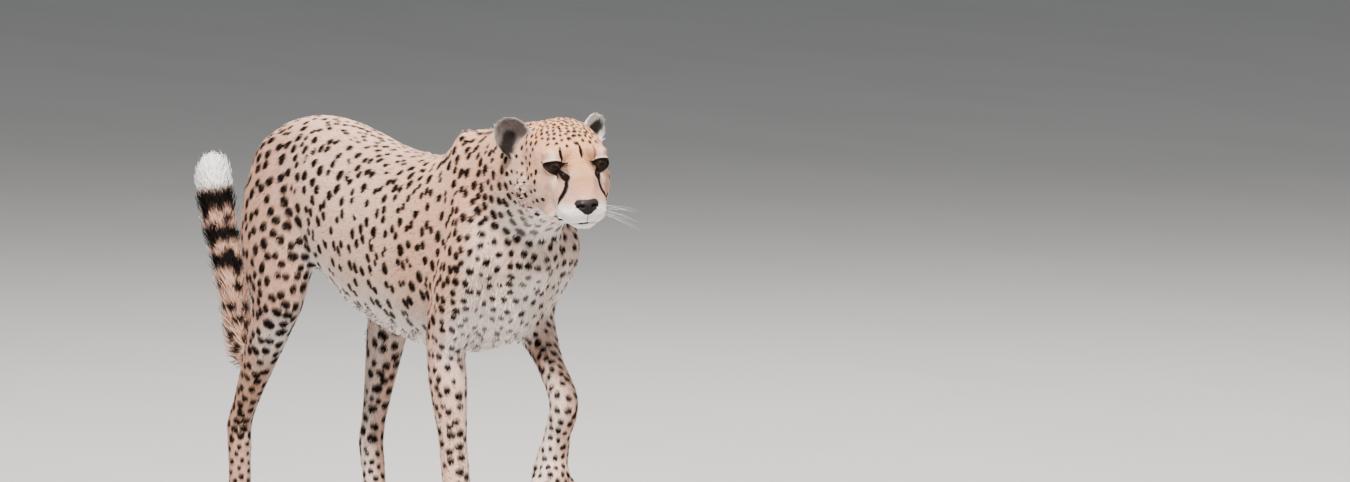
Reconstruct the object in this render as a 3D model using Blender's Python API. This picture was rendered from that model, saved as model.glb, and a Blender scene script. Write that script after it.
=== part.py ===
"""A cheetah at life size, as a still model, cut into the parts a person would name.

The animal faces +X, its left is +Y and +Z is up. It walks: the right foreleg and both hind
legs carry it, and the left foreleg swings forward with a bent wrist. Every table below is in
centimetres, in a working frame whose floor is at zero; the finished parts are moved so that
the origin is at the centre of the bottom of the whole animal.
"""

import math

import bmesh
import bpy
import numpy as np
from mathutils import Euler, Matrix, Vector

CM = 0.01
GAP = 0.0003                  # clearance left by every parting cut
VOXEL = 0.0052                # grain of the remesh that melts the masses together
BLEND_PASSES = 38             # plain smoothing that blends one mass into the next
MELT_PASSES = 24              # in-and-out smoothing that shrinks nothing
FLESH_TRIANGLES = 4710
SLIVER_ANGLE = math.radians(1.5)   # slivers left by a cut are merged with neighbours this level
RING_POINTS = 28
STEPS_BETWEEN_STATIONS = 5
SOLE_HEIGHT = 0.6 * CM        # the soles are cut flat at this height of the working frame
RIGHT, LEFT = -1, 1

# The head hangs on its own frame: forward, left and up from the middle of the skull.
HEAD_CENTRE = Vector((54.5, -2.3, 74.9)) * CM
HEAD_YAW, HEAD_PITCH, HEAD_ROLL = math.radians(-13), math.radians(10), math.radians(2.5)
EYE_CENTRE = Vector((4.95, 3.45, 1.25))
EYE_RADIUS = 1.6

# Stations of a lofted mass: x, y, z, then half width, reach above (or before), reach below (or behind).
TRUNK = (
    (-43.5, 0, 65.0, 3.4, 5.0, 4.5),
    (-40.0, 0, 65.6, 6.4, 8.6, 7.0),
    (-34.0, 0, 66.2, 8.2, 10.3, 10.5),
    (-26.0, 0, 66.2, 8.8, 11.0, 13.2),
    (-18.0, 0, 65.2, 9.0, 11.0, 15.2),
    (-9.0, 0, 63.0, 9.4, 11.4, 17.0),
    (1.0, 0, 61.0, 9.9, 12.5, 17.2),
    (10.0, 0, 60.0, 10.2, 13.3, 17.2),
    (18.0, 0, 59.8, 10.0, 15.0, 17.0),
    (25.0, 0, 60.6, 9.5, 16.6, 16.6),
    (31.0, 0, 61.4, 8.7, 15.6, 15.6),
    (36.0, 0, 62.0, 7.2, 12.5, 12.5),
    (39.5, 0, 62.0, 5.0, 8.5, 8.0),
)
NECK = (
    (24.0, 0.0, 66.0, 7.6, 11.8, 12.0),
    (32.0, -0.2, 69.5, 7.6, 10.0, 11.0),
    (39.5, -0.8, 72.0, 7.3, 8.5, 10.8),
    (46.5, -1.7, 73.6, 6.8, 7.6, 9.2),
    (51.0, -2.1, 74.3, 5.8, 6.4, 7.2),
)
TAIL = (
    (-38.5, 0.0, 71.0, 3.4, 3.4, 3.4),
    (-43.0, 0.0, 67.5, 3.0, 3.0, 3.0),
    (-45.6, 0.0, 61.0, 2.6, 2.6, 2.6),
    (-46.8, -0.2, 53.0, 2.35, 2.35, 2.35),
    (-47.4, -0.4, 45.0, 2.25, 2.25, 2.25),
    (-48.8, -0.7, 38.5, 2.2, 2.2, 2.2),
    (-52.0, -1.0, 35.6, 2.2, 2.2, 2.2),
    (-55.2, -1.3, 38.8, 2.3, 2.3, 2.3),
    (-56.9, -1.5, 46.0, 2.45, 2.45, 2.45),
    (-59.8, -1.5, 52.5, 2.6, 2.6, 2.6),
    (-62.4, -1.5, 58.5, 2.8, 2.8, 2.8),
    (-63.6, -1.5, 62.9, 3.05, 3.05, 3.05),
    (-63.9, -1.5, 65.7, 2.7, 2.7, 2.7),
)
# The skull and muzzle in the head's frame.
SKULL = (
    (-8.5, 0, 1.0, 4.0, 3.8, 5.0),
    (-5.5, 0, 1.3, 5.8, 4.9, 6.2),
    (-2.0, 0, 1.2, 6.2, 5.7, 7.2),
    (1.5, 0, 0.7, 6.1, 5.8, 7.8),
    (4.2, 0, -0.2, 5.6, 5.1, 7.6),
    (6.6, 0, -1.7, 4.3, 4.0, 6.0),
    (9.0, 0, -3.4, 3.2, 2.9, 4.4),
    (10.8, 0, -4.0, 2.3, 1.9, 2.8),
)
# Ellipsoids of the head: centre and radii in the head's frame. Those off the middle have a twin.
HEAD_MASSES = (
    ((1.0, 4.0, -2.4), (5.2, 2.6, 4.6)),      # cheek
    ((4.3, 3.0, 2.9), (2.4, 2.5, 1.5)),       # brow
    ((7.0, 1.2, -0.6), (3.4, 1.7, 2.4)),      # bridge of the nose
    ((9.1, 0.9, -2.1), (2.2, 1.5, 1.6)),      # bridge, above the nose
    ((7.6, 2.3, -3.4), (3.0, 2.0, 2.7)),      # side of the muzzle
    ((9.4, 1.8, -4.9), (2.6, 2.1, 2.0)),      # whisker pad
    ((-2.6, 4.6, -4.0), (4.6, 3.0, 4.0)),     # ruff below the ear
    ((5.0, 2.6, -6.0), (4.2, 2.4, 2.0)),      # jaw
    ((9.3, 0.0, -6.8), (2.3, 2.1, 1.5)),      # chin
    ((11.0, 0.0, -3.5), (1.5, 2.0, 1.3)),     # nose
    ((3.9, 3.6, -1.7), (2.7, 2.1, 3.1)),      # cheekbone
)
EAR_HEIGHT, EAR_HALF_WIDTH, EAR_CUP, EAR_WALL = 6.2, 3.05, 1.7, 0.8
# Each ear: root, direction of its tip, direction its hollow faces, all in the head's frame.
EARS = {
    RIGHT: ((-4.4, -5.4, 1.1), (-0.12, -0.60, 0.79), (0.95, -0.25, 0.0)),
    LEFT: ((-4.9, 4.9, 0.4), (-0.24, 0.46, 0.85), (0.80, 0.60, 0.0)),
}
CLAW_LENGTH, CLAW_RADIUS, CLAW_SIDES = 1.9, 0.36, 5

# Joints in order down the leg. Forelegs: shoulder, elbow, wrist, knuckle, toes.
FORELEGS = {
    RIGHT: ((35.0, -7.8, 60.0), (25.6, -7.8, 45.0), (27.0, -6.2, 19.0), (27.8, -5.6, 6.2), (32.4, -5.4, 2.2)),
    LEFT: ((35.0, 7.3, 60.0), (23.5, 8.4, 50.0), (40.5, 5.2, 36.5), (37.0, 4.8, 26.5), (37.6, 4.6, 21.0)),
}
# Hind legs: hip, stifle, hock, ball of the foot, toes.
HINDLEGS = {
    RIGHT: ((-33.0, -5.8, 66.5), (-28.0, -8.2, 47.5), (-44.8, -7.0, 26.0), (-45.8, -6.2, 6.0), (-40.4, -6.0, 2.2)),
    LEFT: ((-31.5, 5.8, 66.0), (-19.5, 8.0, 48.5), (-24.5, 6.2, 24.5), (-19.8, 5.4, 6.0), (-14.4, 5.2, 2.2)),
}

# Parting discs: centre, normal and radius.
CUTS = (
    ((46.4, -1.7, 73.4), (0.93, -0.17, 0.32), 12.5),        # head from neck
    ((35.4, 0.0, 73.2), (0.65, 0.0, 0.76), 16.2),           # neck from trunk
    ((-46.2, -0.1, 58.0), (0.12, 0.0, 0.99), 3.5),          # tail from rump
    ((-52.0, -1.0, 35.6), (1.0, 0.0, 0.0), 3.6),            # tail, at its lowest point
    ((-63.0, -1.5, 61.0), (-0.30, 0.0, 0.95), 4.2),         # tip of the tail
    ((25.9, -7.4, 40.2), (-0.05, 0.0, 1.0), 5.6),           # right forearm
    ((34.6, 6.3, 41.3), (0.77, -0.14, -0.62), 4.8),         # left forearm
    ((27.1, -6.1, 18.2), (0.0, 0.0, 1.0), 4.6),             # right wrist
    ((39.6, 5.1, 33.9), (-0.33, 0.0, -0.94), 4.0),          # left wrist
    ((-45.0, -7.0, 23.6), (0.0, 0.0, 1.0), 4.8),            # right hock
    ((-24.0, 6.1, 22.2), (-0.2, 0.0, 1.0), 4.8),            # left hock
)
# Parting bowls that free the thighs: centre, radii and forward tilt in degrees.
BOWLS = (
    ((-31.5, -8.2, 57.0), (13.5, 6.6, 19.5), 0.0),
    ((-25.5, 8.2, 56.5), (12.5, 6.6, 20.5), -16.0),
)
# A point inside each part, to know it by.
PLACES = {
    "head": (54, -2, 74), "neck": (40, -1, 72), "trunk": (5, 0, 60),
    "tail_base": (-46.8, -0.2, 52), "tail_middle": (-57, -1.5, 46.5), "tail_tip": (-63.7, -1.5, 65),
    "forearm_right": (26.4, -7, 30), "forefoot_right": (27.6, -5.8, 8),
    "forearm_left": (38, 5.5, 38), "forefoot_left": (37, 4.8, 26),
    "thigh_right": (-30, -8, 58), "shank_right": (-41, -7.5, 32), "hindfoot_right": (-45.6, -6.4, 10),
    "thigh_left": (-26, 8, 56), "shank_left": (-23.5, 7, 32), "hindfoot_left": (-21, 5.6, 10),
}

# Colour and roughness of each kind of surface.
FINISHES = {
    "coat": ((0.62, 0.43, 0.26), 0.85),
    "pale": ((0.70, 0.56, 0.42), 0.85),
    "white": ((0.80, 0.76, 0.70), 0.85),
    "ear": ((0.36, 0.29, 0.23), 0.85),
    "eye": ((0.16, 0.07, 0.02), 0.08),
    "claw": ((0.10, 0.07, 0.05), 0.35),
}
COATS = {"tail_tip": "white", "shank": "pale", "hindfoot": "pale", "forefoot": "pale", "forearm": "pale"}


def clear_scene():
    """Empties the scene of whatever it opened with."""
    for thing in list(bpy.data.objects):
        bpy.data.objects.remove(thing)


def link_mesh(name, bm):
    """Turns a bmesh into an object in the scene."""
    mesh = bpy.data.meshes.new(name)
    bm.to_mesh(mesh)
    bm.free()
    thing = bpy.data.objects.new(name, mesh)
    bpy.context.scene.collection.objects.link(thing)
    return thing


def settled(thing):
    """Replaces an object's mesh by what its modifiers make of it."""
    bpy.context.view_layer.update()
    graph = bpy.context.evaluated_depsgraph_get()
    mesh = bpy.data.meshes.new_from_object(thing.evaluated_get(graph))
    thing.modifiers.clear()
    thing.data = mesh
    return thing


def without(thing, cutter, operation="DIFFERENCE"):
    """Cuts one object by another, and removes the cutter."""
    cut = thing.modifiers.new("cut", "BOOLEAN")
    cut.operation = operation
    cut.solver = "EXACT"
    cut.object = cutter
    settled(thing)
    bpy.data.objects.remove(cutter)
    return thing


def between(rows, i, t):
    """Catmull-Rom blend of the rows of a table, at share t between row i and row i + 1."""
    last = len(rows) - 1
    p0, p1, p2, p3 = (rows[max(0, min(last, k))] for k in (i - 1, i, i + 1, i + 2))
    return [
        0.5 * ((2 * b) + (c - a) * t + (2 * a - 5 * b + 4 * c - d) * t * t + (3 * b - a - 3 * c + d) * t ** 3)
        for a, b, c, d in zip(p0, p1, p2, p3)
    ]


def loft(bm, stations, frame=Matrix.Identity(4), ring_points=RING_POINTS, steps=STEPS_BETWEEN_STATIONS):
    """Adds a closed tube through the stations, with rounded ends, to the bmesh."""
    rows = [between(stations, i, k / steps) for i in range(len(stations) - 1) for k in range(steps)]
    rows.append(list(stations[-1]))
    centres = [Vector(row[:3]) for row in rows]
    rings = []
    for i, row in enumerate(rows):
        along = (centres[min(i + 1, len(rows) - 1)] - centres[max(i - 1, 0)]).normalized()
        side = (Vector((0, 1, 0)) - along * along.y).normalized()
        rings.append((centres[i], along, side, along.cross(side), row[3:]))
    first, last = rings[0], rings[-1]
    caps = [math.radians(a) for a in (60, 30)]

    def cap(ring, sign, angle):
        centre, along, side, up, reach = ring
        mean = (reach[0] + reach[1] + reach[2]) / 3
        shift = along * (sign * mean * 0.8 * math.sin(angle))
        return (centre + shift, along, side, up, [r * math.cos(angle) for r in reach])

    rings = [cap(first, -1, a) for a in caps] + rings + [cap(last, 1, a) for a in reversed(caps)]
    loops = []
    for centre, _, side, up, (wide, above, below) in rings:
        loop = []
        for k in range(ring_points):
            turn = 2 * math.pi * k / ring_points
            rise = math.sin(turn) * (above if math.sin(turn) > 0 else below)
            loop.append(bm.verts.new(frame @ ((centre + side * (wide * math.cos(turn)) + up * rise) * CM)))
        loops.append(loop)
    for a, b in zip(loops, loops[1:]):
        for k in range(ring_points):
            bm.faces.new((a[k], b[k], b[(k + 1) % ring_points], a[(k + 1) % ring_points]))
    bm.faces.new(loops[0])
    bm.faces.new(list(reversed(loops[-1])))


def ellipsoid(bm, centre, radii, turn=Matrix.Identity(4), frame=Matrix.Identity(4), fineness=3):
    """Adds an ellipsoid, turned by a rotation matrix, to the bmesh."""
    scale = Matrix.Diagonal((radii[0] * CM, radii[1] * CM, radii[2] * CM, 1.0))
    matrix = frame @ Matrix.Translation(Vector(centre) * CM) @ turn @ scale
    return bmesh.ops.create_icosphere(bm, subdivisions=fineness, radius=1.0, matrix=matrix)["verts"]


def axes(ahead, across, up):
    """The rotation whose columns are the three axes."""
    return Matrix((ahead, across, up)).transposed().to_4x4()


def head_frame():
    """The matrix that places the head: nose down by the pitch, turned by the yaw."""
    turn = Euler((HEAD_ROLL, HEAD_PITCH, HEAD_YAW), "XYZ").to_matrix().to_4x4()
    return Matrix.Translation(HEAD_CENTRE) @ turn


def add_head(bm):
    """Skull, muzzle and the soft masses of the face."""
    frame = head_frame()
    loft(bm, SKULL, frame)
    for centre, radii in HEAD_MASSES:
        for side in (RIGHT, LEFT) if centre[1] else (LEFT,):
            ellipsoid(bm, (centre[0], side * centre[1], centre[2]), radii, frame=frame)


def limb(bm, points, sizes):
    """A lofted limb through points, with (half width, reach before, reach behind) at each."""
    loft(bm, [tuple(p) + tuple(s) for p, s in zip(points, sizes)])


def along(a, b, share):
    """The point at that share of the way from a to b."""
    return a + (b - a) * share


def paw_axes(knuckle, toes):
    """Forward, across and up of a foot: level when it stands, hanging when it is lifted."""
    if toes.z > 10:
        ahead, up = Vector((0.25, 0, -0.97)).normalized(), Vector((0.97, 0, 0.25)).normalized()
    else:
        ahead, up = Vector((toes.x - knuckle.x, toes.y - knuckle.y, 0)).normalized(), Vector((0, 0, 1))
    return ahead, up.cross(ahead), up


def toe_centres(knuckle, toes):
    """The middles of the four toes, fanned in a shallow arc."""
    ahead, across, _ = paw_axes(knuckle, toes)
    middle = toes - ahead * 1.0
    return [middle + across * offset + ahead * reach
            for offset, reach in ((-2.4, -0.9), (-0.85, 0.4), (0.85, 0.4), (2.4, -0.9))]


def add_paw(bm, knuckle, toes):
    """A foot: four toes with the pad behind them."""
    ahead, across, up = paw_axes(knuckle, toes)
    turn = axes(ahead, across, up)
    for centre in toe_centres(knuckle, toes):
        ellipsoid(bm, centre, (2.6, 1.3, 1.9), turn)
    ellipsoid(bm, toes - ahead * 4.4, (3.2, 3.0, 2.1), turn)
    ellipsoid(bm, toes - ahead * 3.2 + up * 1.5, (3.6, 2.8, 2.5), turn)


def add_foreleg(bm, joints):
    """Shoulder blade, upper arm, forearm and forefoot."""
    shoulder, elbow, wrist, knuckle, toes = (Vector(p) for p in joints)
    blade = Vector((25.5, shoulder.y * 0.52, 76.5))
    limb(bm, (blade, along(blade, shoulder, 0.5), shoulder),
         ((2.0, 3.0, 3.4), (3.0, 6.4, 6.8), (3.8, 4.6, 5.4)))
    limb(bm, (shoulder, along(shoulder, elbow, 0.5), elbow),
         ((3.8, 4.4, 5.6), (3.8, 4.8, 6.4), (3.2, 4.0, 4.4)))
    limb(bm, (elbow, along(elbow, wrist, 0.25), along(elbow, wrist, 0.6), wrist,
              along(wrist, knuckle, 0.5), knuckle),
         ((3.1, 3.6, 4.1), (3.1, 3.4, 3.5), (2.4, 2.4, 2.5), (2.5, 2.4, 2.5),
          (2.35, 2.1, 2.2), (2.8, 2.5, 2.5)))
    add_paw(bm, knuckle, toes)


def add_hindleg(bm, joints):
    """Haunch, shank, hock and hind foot."""
    hip, stifle, hock, ball, toes = (Vector(p) for p in joints)
    limb(bm, (along(hip, stifle, -0.2), along(hip, stifle, 0.15), along(hip, stifle, 0.5),
              along(hip, stifle, 0.85), stifle),
         ((3.6, 5.4, 6.2), (4.8, 8.8, 9.8), (5.1, 8.2, 10.4), (4.4, 6.2, 8.8), (3.8, 4.6, 6.3)))
    limb(bm, (stifle, along(stifle, hock, 0.3), along(stifle, hock, 0.6), along(stifle, hock, 0.85), hock),
         ((3.7, 4.2, 5.4), (3.1, 3.2, 5.2), (2.4, 2.4, 3.8), (2.0, 2.1, 2.9), (2.15, 2.3, 2.6)))
    limb(bm, (hock, along(hock, ball, 0.3), along(hock, ball, 0.7), ball),
         ((2.15, 2.4, 2.7), (2.0, 2.0, 2.1), (2.15, 2.0, 2.0), (2.7, 2.4, 2.4)))
    add_paw(bm, ball, toes)


def softness(points):
    """How far each point gives way to smoothing: fully on the trunk, little on face, tail and feet."""
    head = np.array(HEAD_CENTRE) + np.array((0.02, 0.0, -0.01))
    from_head = np.linalg.norm(points - head, axis=1)
    soft = np.clip((from_head - 0.09) / 0.07, 0.06, 1.0)
    soft = np.minimum(soft, np.clip((points[:, 2] - 0.34) / 0.18, 0.2, 1.0))
    soft = np.minimum(soft, np.clip((points[:, 2] - 0.04) / 0.12, 0.06, 1.0))
    soft = np.minimum(soft, np.clip((points[:, 0] + 0.47) / 0.06, 0.2, 1.0))
    lifted = np.linalg.norm(points - np.array((0.375, 0.047, 0.22)), axis=1)
    return np.minimum(soft, np.clip((lifted - 0.04) / 0.12, 0.06, 1.0))


def eased(thing):
    """Blends the masses into one another, then smooths by pushing in and out in turn."""
    mesh = thing.data
    count = len(mesh.vertices)
    points = np.empty(count * 3)
    mesh.vertices.foreach_get("co", points)
    points = points.reshape(-1, 3)
    ends = np.empty(len(mesh.edges) * 2, dtype=np.int64)
    mesh.edges.foreach_get("vertices", ends)
    a, b = ends[0::2], ends[1::2]
    valence = np.bincount(np.concatenate((a, b)), minlength=count)[:, None]
    soft = softness(points)[:, None]
    for push in [0.5] * BLEND_PASSES + [0.6, -0.58] * MELT_PASSES:
        total = np.stack([np.bincount(np.concatenate((a, b)), np.concatenate((points[b, k], points[a, k])),
                                      minlength=count) for k in range(3)], axis=1)
        points = points + (total / valence - points) * push * soft
    mesh.vertices.foreach_set("co", points.ravel())
    mesh.update()
    return thing


def flesh():
    """The whole animal but its ears, eyes and claws, as one melted and smoothed mesh."""
    bm = bmesh.new()
    for stations in (TRUNK, NECK, TAIL):
        loft(bm, stations)
    add_head(bm)
    for joints in FORELEGS.values():
        add_foreleg(bm, joints)
    for joints in HINDLEGS.values():
        add_hindleg(bm, joints)
    thing = link_mesh("flesh", bm)
    remesh = thing.modifiers.new("melt", "REMESH")
    remesh.mode = "VOXEL"
    remesh.voxel_size = VOXEL
    eased(settled(thing))
    thin = thing.modifiers.new("thin", "DECIMATE")
    thin.ratio = FLESH_TRIANGLES / (2.0 * len(thing.data.polygons))
    settled(thing)
    bm = bmesh.new()
    bm.from_mesh(thing.data)
    cut = bmesh.ops.bisect_plane(bm, geom=bm.verts[:] + bm.edges[:] + bm.faces[:], clear_inner=True,
                                 plane_co=(0, 0, SOLE_HEIGHT), plane_no=(0, 0, 1))
    rim = [e for e in cut["geom_cut"] if isinstance(e, bmesh.types.BMEdge)]
    bmesh.ops.holes_fill(bm, edges=rim, sides=0)
    bmesh.ops.triangulate(bm, faces=[f for f in bm.faces if len(f.verts) > 4])
    bm.to_mesh(thing.data)
    bm.free()
    return thing


def disc(bm, centre, normal, radius):
    """Adds a round plate, as thin as the gap, to the bmesh."""
    turn = Vector(normal).to_track_quat("Z", "Y").to_matrix().to_4x4()
    matrix = Matrix.Translation(Vector(centre) * CM) @ turn
    bmesh.ops.create_cone(bm, segments=32, cap_ends=True, radius1=radius * CM, radius2=radius * CM,
                          depth=GAP, matrix=matrix)


def bowl(bm, centre, radii, tilt):
    """Adds a hollow ellipsoid whose wall is as thin as the gap to the bmesh."""
    turn = Matrix.Rotation(math.radians(tilt), 4, "Y")
    ellipsoid(bm, centre, radii, turn, fineness=2)
    inner = ellipsoid(bm, centre, [r - GAP / CM * 1.1 for r in radii], turn, fineness=2)
    bmesh.ops.reverse_faces(bm, faces=list({f for v in inner for f in v.link_faces}))


def islands(thing):
    """The separate closed pieces of an object, each as its own object; the object is removed."""
    bm = bmesh.new()
    bm.from_mesh(thing.data)
    left, pieces = set(bm.faces), []
    while left:
        queue, piece = [left.pop()], set()
        while queue:
            face = queue.pop()
            piece.add(face)
            near = {n for e in face.edges for n in e.link_faces} & left
            left -= near
            queue.extend(near)
        pieces.append(piece)
    found = []
    for piece in sorted(pieces, key=len, reverse=True):
        if len(piece) < 12:
            continue
        one = bmesh.new()
        twins = {}
        for face in sorted(piece, key=lambda f: f.index):
            for v in face.verts:
                if v not in twins:
                    twins[v] = one.verts.new(v.co)
            one.faces.new([twins[v] for v in face.verts])
        bmesh.ops.dissolve_limit(one, angle_limit=SLIVER_ANGLE, verts=one.verts[:], edges=one.edges[:])
        bmesh.ops.triangulate(one, faces=one.faces[:])
        found.append(link_mesh("piece", one))
    bm.free()
    bpy.data.objects.remove(thing)
    return found


def holds(thing, point):
    """Whether a closed object holds a point."""
    origin, crossings = Vector(point), 0
    while True:
        hit, place, _, _ = thing.ray_cast(origin, Vector((0.0, 0.0, 1.0)))
        if not hit:
            return crossings % 2 == 1
        crossings += 1
        origin = place + Vector((0.0, 0.0, 1e-6))


def grown(thing, margin):
    """A copy of an object, grown outward by a margin."""
    twin = bpy.data.objects.new("grown", thing.data.copy())
    bpy.context.scene.collection.objects.link(twin)
    for v, normal in zip(twin.data.vertices, [v.normal.copy() for v in twin.data.vertices]):
        v.co += normal * margin
    return twin


def finish(thing, name, look):
    """Names a part and gives it its own material."""
    thing.name = thing.data.name = name
    colour, roughness = FINISHES[look]
    material = bpy.data.materials.new(name)
    material.use_nodes = True
    shader = material.node_tree.nodes["Principled BSDF"]
    shader.inputs["Base Color"].default_value = (*colour, 1.0)
    shader.inputs["Roughness"].default_value = roughness
    thing.data.materials.clear()
    thing.data.materials.append(material)
    return thing


def parted(body):
    """Cuts the body by every disc and bowl, and names what comes of it."""
    bm = bmesh.new()
    for cut in CUTS:
        disc(bm, *cut)
    for cut in BOWLS:
        bowl(bm, *cut)
    pieces = islands(without(body, link_mesh("cutters", bm)))
    bpy.context.view_layer.update()
    parts = {}
    for name, place in PLACES.items():
        piece = next(p for p in pieces if holds(p, Vector(place) * CM))
        look = next((c for start, c in COATS.items() if name.startswith(start)), "coat")
        parts[name] = finish(piece, name, look)
    for piece in pieces:
        if piece.name.startswith("piece"):
            raise ValueError(f"a piece of {len(piece.data.polygons)} faces has no name")
    return parts


def ear(side, head):
    """A cupped ear with a rounded tip, seated on the head."""
    root, tip, face = (Vector(p) for p in EARS[side])
    up = tip.normalized()
    face = (face - up * face.dot(up)).normalized()
    across = up.cross(face)
    frame = head_frame()
    rows, columns = 7, 9
    sheets = {"hollow": [], "back": []}
    for j in range(rows):
        v = math.sin(math.pi / 2 * j / (rows - 1)) * 0.985
        wide = 0.84 + 0.16 * v / 0.42 if v < 0.42 else (1 - ((v - 0.42) / 0.6) ** 2.4) ** 0.45
        wall = EAR_WALL * (1 - 0.5 * v)
        for sheet, depth, spread in (("hollow", 0.0, 0.9), ("back", wall, 1.0)):
            line = []
            for i in range(columns):
                u = 2 * i / (columns - 1) - 1
                cup = -EAR_CUP * (1 - u * u) * (1 - 0.8 * v * v)
                edge = depth * (1 - 0.45 * u ** 6)
                line.append(root + up * (EAR_HEIGHT * v) + across * (EAR_HALF_WIDTH * wide * spread * u)
                            + face * (cup - edge - 0.5 * v * v))
            sheets[sheet].append(line)
    bm = bmesh.new()
    made = {key: [[bm.verts.new(frame @ (p * CM)) for p in line] for line in lines]
            for key, lines in sheets.items()}
    for key, lines in made.items():
        for low, high in zip(lines, lines[1:]):
            for i in range(columns - 1):
                corners = (low[i], low[i + 1], high[i + 1], high[i])
                bm.faces.new(corners if key == "hollow" else tuple(reversed(corners)))

    def rim(lines):
        return ([line[0] for line in reversed(lines)] + list(lines[0][1:-1])
                + [line[-1] for line in lines] + list(reversed(lines[-1][1:-1])))

    inner, outer = rim(made["hollow"]), rim(made["back"])
    for i in range(len(inner)):
        n = (i + 1) % len(inner)
        bm.faces.new((inner[n], inner[i], outer[i], outer[n]))
    bmesh.ops.recalc_face_normals(bm, faces=bm.faces)
    whole = without(link_mesh("ear", bm), grown(head, GAP))
    pieces = islands(whole)
    for spare in pieces[1:]:
        bpy.data.objects.remove(spare)
    return finish(pieces[0], "ear_right" if side == RIGHT else "ear_left", "ear")


def eyeball(name, side, radius):
    """A round eyeball whose pole looks ahead and a little outward."""
    bm = bmesh.new()
    gaze = Vector((1.0, side * 0.3, 0.0)).to_track_quat("Z", "Y").to_matrix().to_4x4()
    centre = Vector((EYE_CENTRE.x, side * EYE_CENTRE.y, EYE_CENTRE.z)) * CM
    bmesh.ops.create_uvsphere(bm, u_segments=14, v_segments=9, radius=radius * CM,
                              matrix=head_frame() @ Matrix.Translation(centre) @ gaze)
    return link_mesh(name, bm)


def eye(side, head):
    """An eyeball in a socket of the head."""
    without(head, eyeball("socket", side, EYE_RADIUS + GAP / CM * 1.2))
    return finish(eyeball("eye", side, EYE_RADIUS), "eye_right" if side == RIGHT else "eye_left", "eye")


def claw_mesh(base, bend, point, ahead, across, up):
    """A curved blunt claw of five sides, from its root to its point."""
    bm = bmesh.new()
    rings = [[bm.verts.new((centre + (across * math.cos(a) + up * (math.sin(a) * 1.25)) * radius) * CM)
              for a in (math.tau * k / CLAW_SIDES for k in range(CLAW_SIDES))]
             for centre, radius in ((base, CLAW_RADIUS), (bend, CLAW_RADIUS * 0.8), (point, CLAW_RADIUS * 0.3))]
    for low, high in zip(rings, rings[1:]):
        for k in range(CLAW_SIDES):
            n = (k + 1) % CLAW_SIDES
            bm.faces.new((low[k], low[n], high[n], high[k]))
    bm.faces.new(list(reversed(rings[0])))
    bm.faces.new(rings[-1])
    bmesh.ops.recalc_face_normals(bm, faces=bm.faces)
    return link_mesh("claw", bm)


def claws(joints, foot, name):
    """The four claws of a foot, each in a socket at the end of its toe."""
    knuckle, toes = Vector(joints[-2]), Vector(joints[-1])
    ahead, across, up = paw_axes(knuckle, toes)
    for k, centre in enumerate(toe_centres(knuckle, toes)):
        base = centre + ahead * 1.75 + up * 0.45
        bend = base + ahead * (CLAW_LENGTH * 0.5) - up * 0.1
        point = base + ahead * (CLAW_LENGTH * 0.85) - up * 0.75
        claw = claw_mesh(base, bend, point, ahead, across, up)
        without(foot, grown(claw, GAP * 1.3))
        finish(claw, f"claw_{name}_{k + 1}", "claw")


def centred(things):
    """Moves everything so that the origin is at the centre of the bottom."""
    corners = np.array([v.co for thing in things for v in thing.data.vertices])
    low, high = corners.min(axis=0), corners.max(axis=0)
    shift = Matrix.Translation(-Vector(((low[0] + high[0]) / 2, (low[1] + high[1]) / 2, low[2])))
    for thing in things:
        thing.data.transform(shift)
        thing.data.update()


def main():
    clear_scene()
    parts = parted(flesh())
    for side in (RIGHT, LEFT):
        ear(side, parts["head"])
    for side in (RIGHT, LEFT):
        eye(side, parts["head"])
    for joints, name in ((FORELEGS[RIGHT], "forefoot_right"), (FORELEGS[LEFT], "forefoot_left"),
                         (HINDLEGS[RIGHT], "hindfoot_right"), (HINDLEGS[LEFT], "hindfoot_left")):
        claws(joints, parts[name], name)
    centred(list(bpy.context.scene.collection.objects))


main()
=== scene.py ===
"""The looks of a walking cheetah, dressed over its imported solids.

One skin is drawn over all the pieces of flesh and lies inside them by the depth of the coat.
It carries the face, the spots and the lie of the hair. Short tufts, longer locks, whiskers, eyes
and claws are then built on it. All lengths are in metres unless a name says otherwise, and the
face is laid out in centimetres in the head's own frame: forward, left and up.
"""

import logging
import math
from dataclasses import dataclass, field
from enum import Enum

import bmesh
import bpy
import numpy as np
from bpy.types import Material, Mesh, Node, NodeSocket, Object
from mathutils import Euler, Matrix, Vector
from mathutils.kdtree import KDTree


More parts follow.
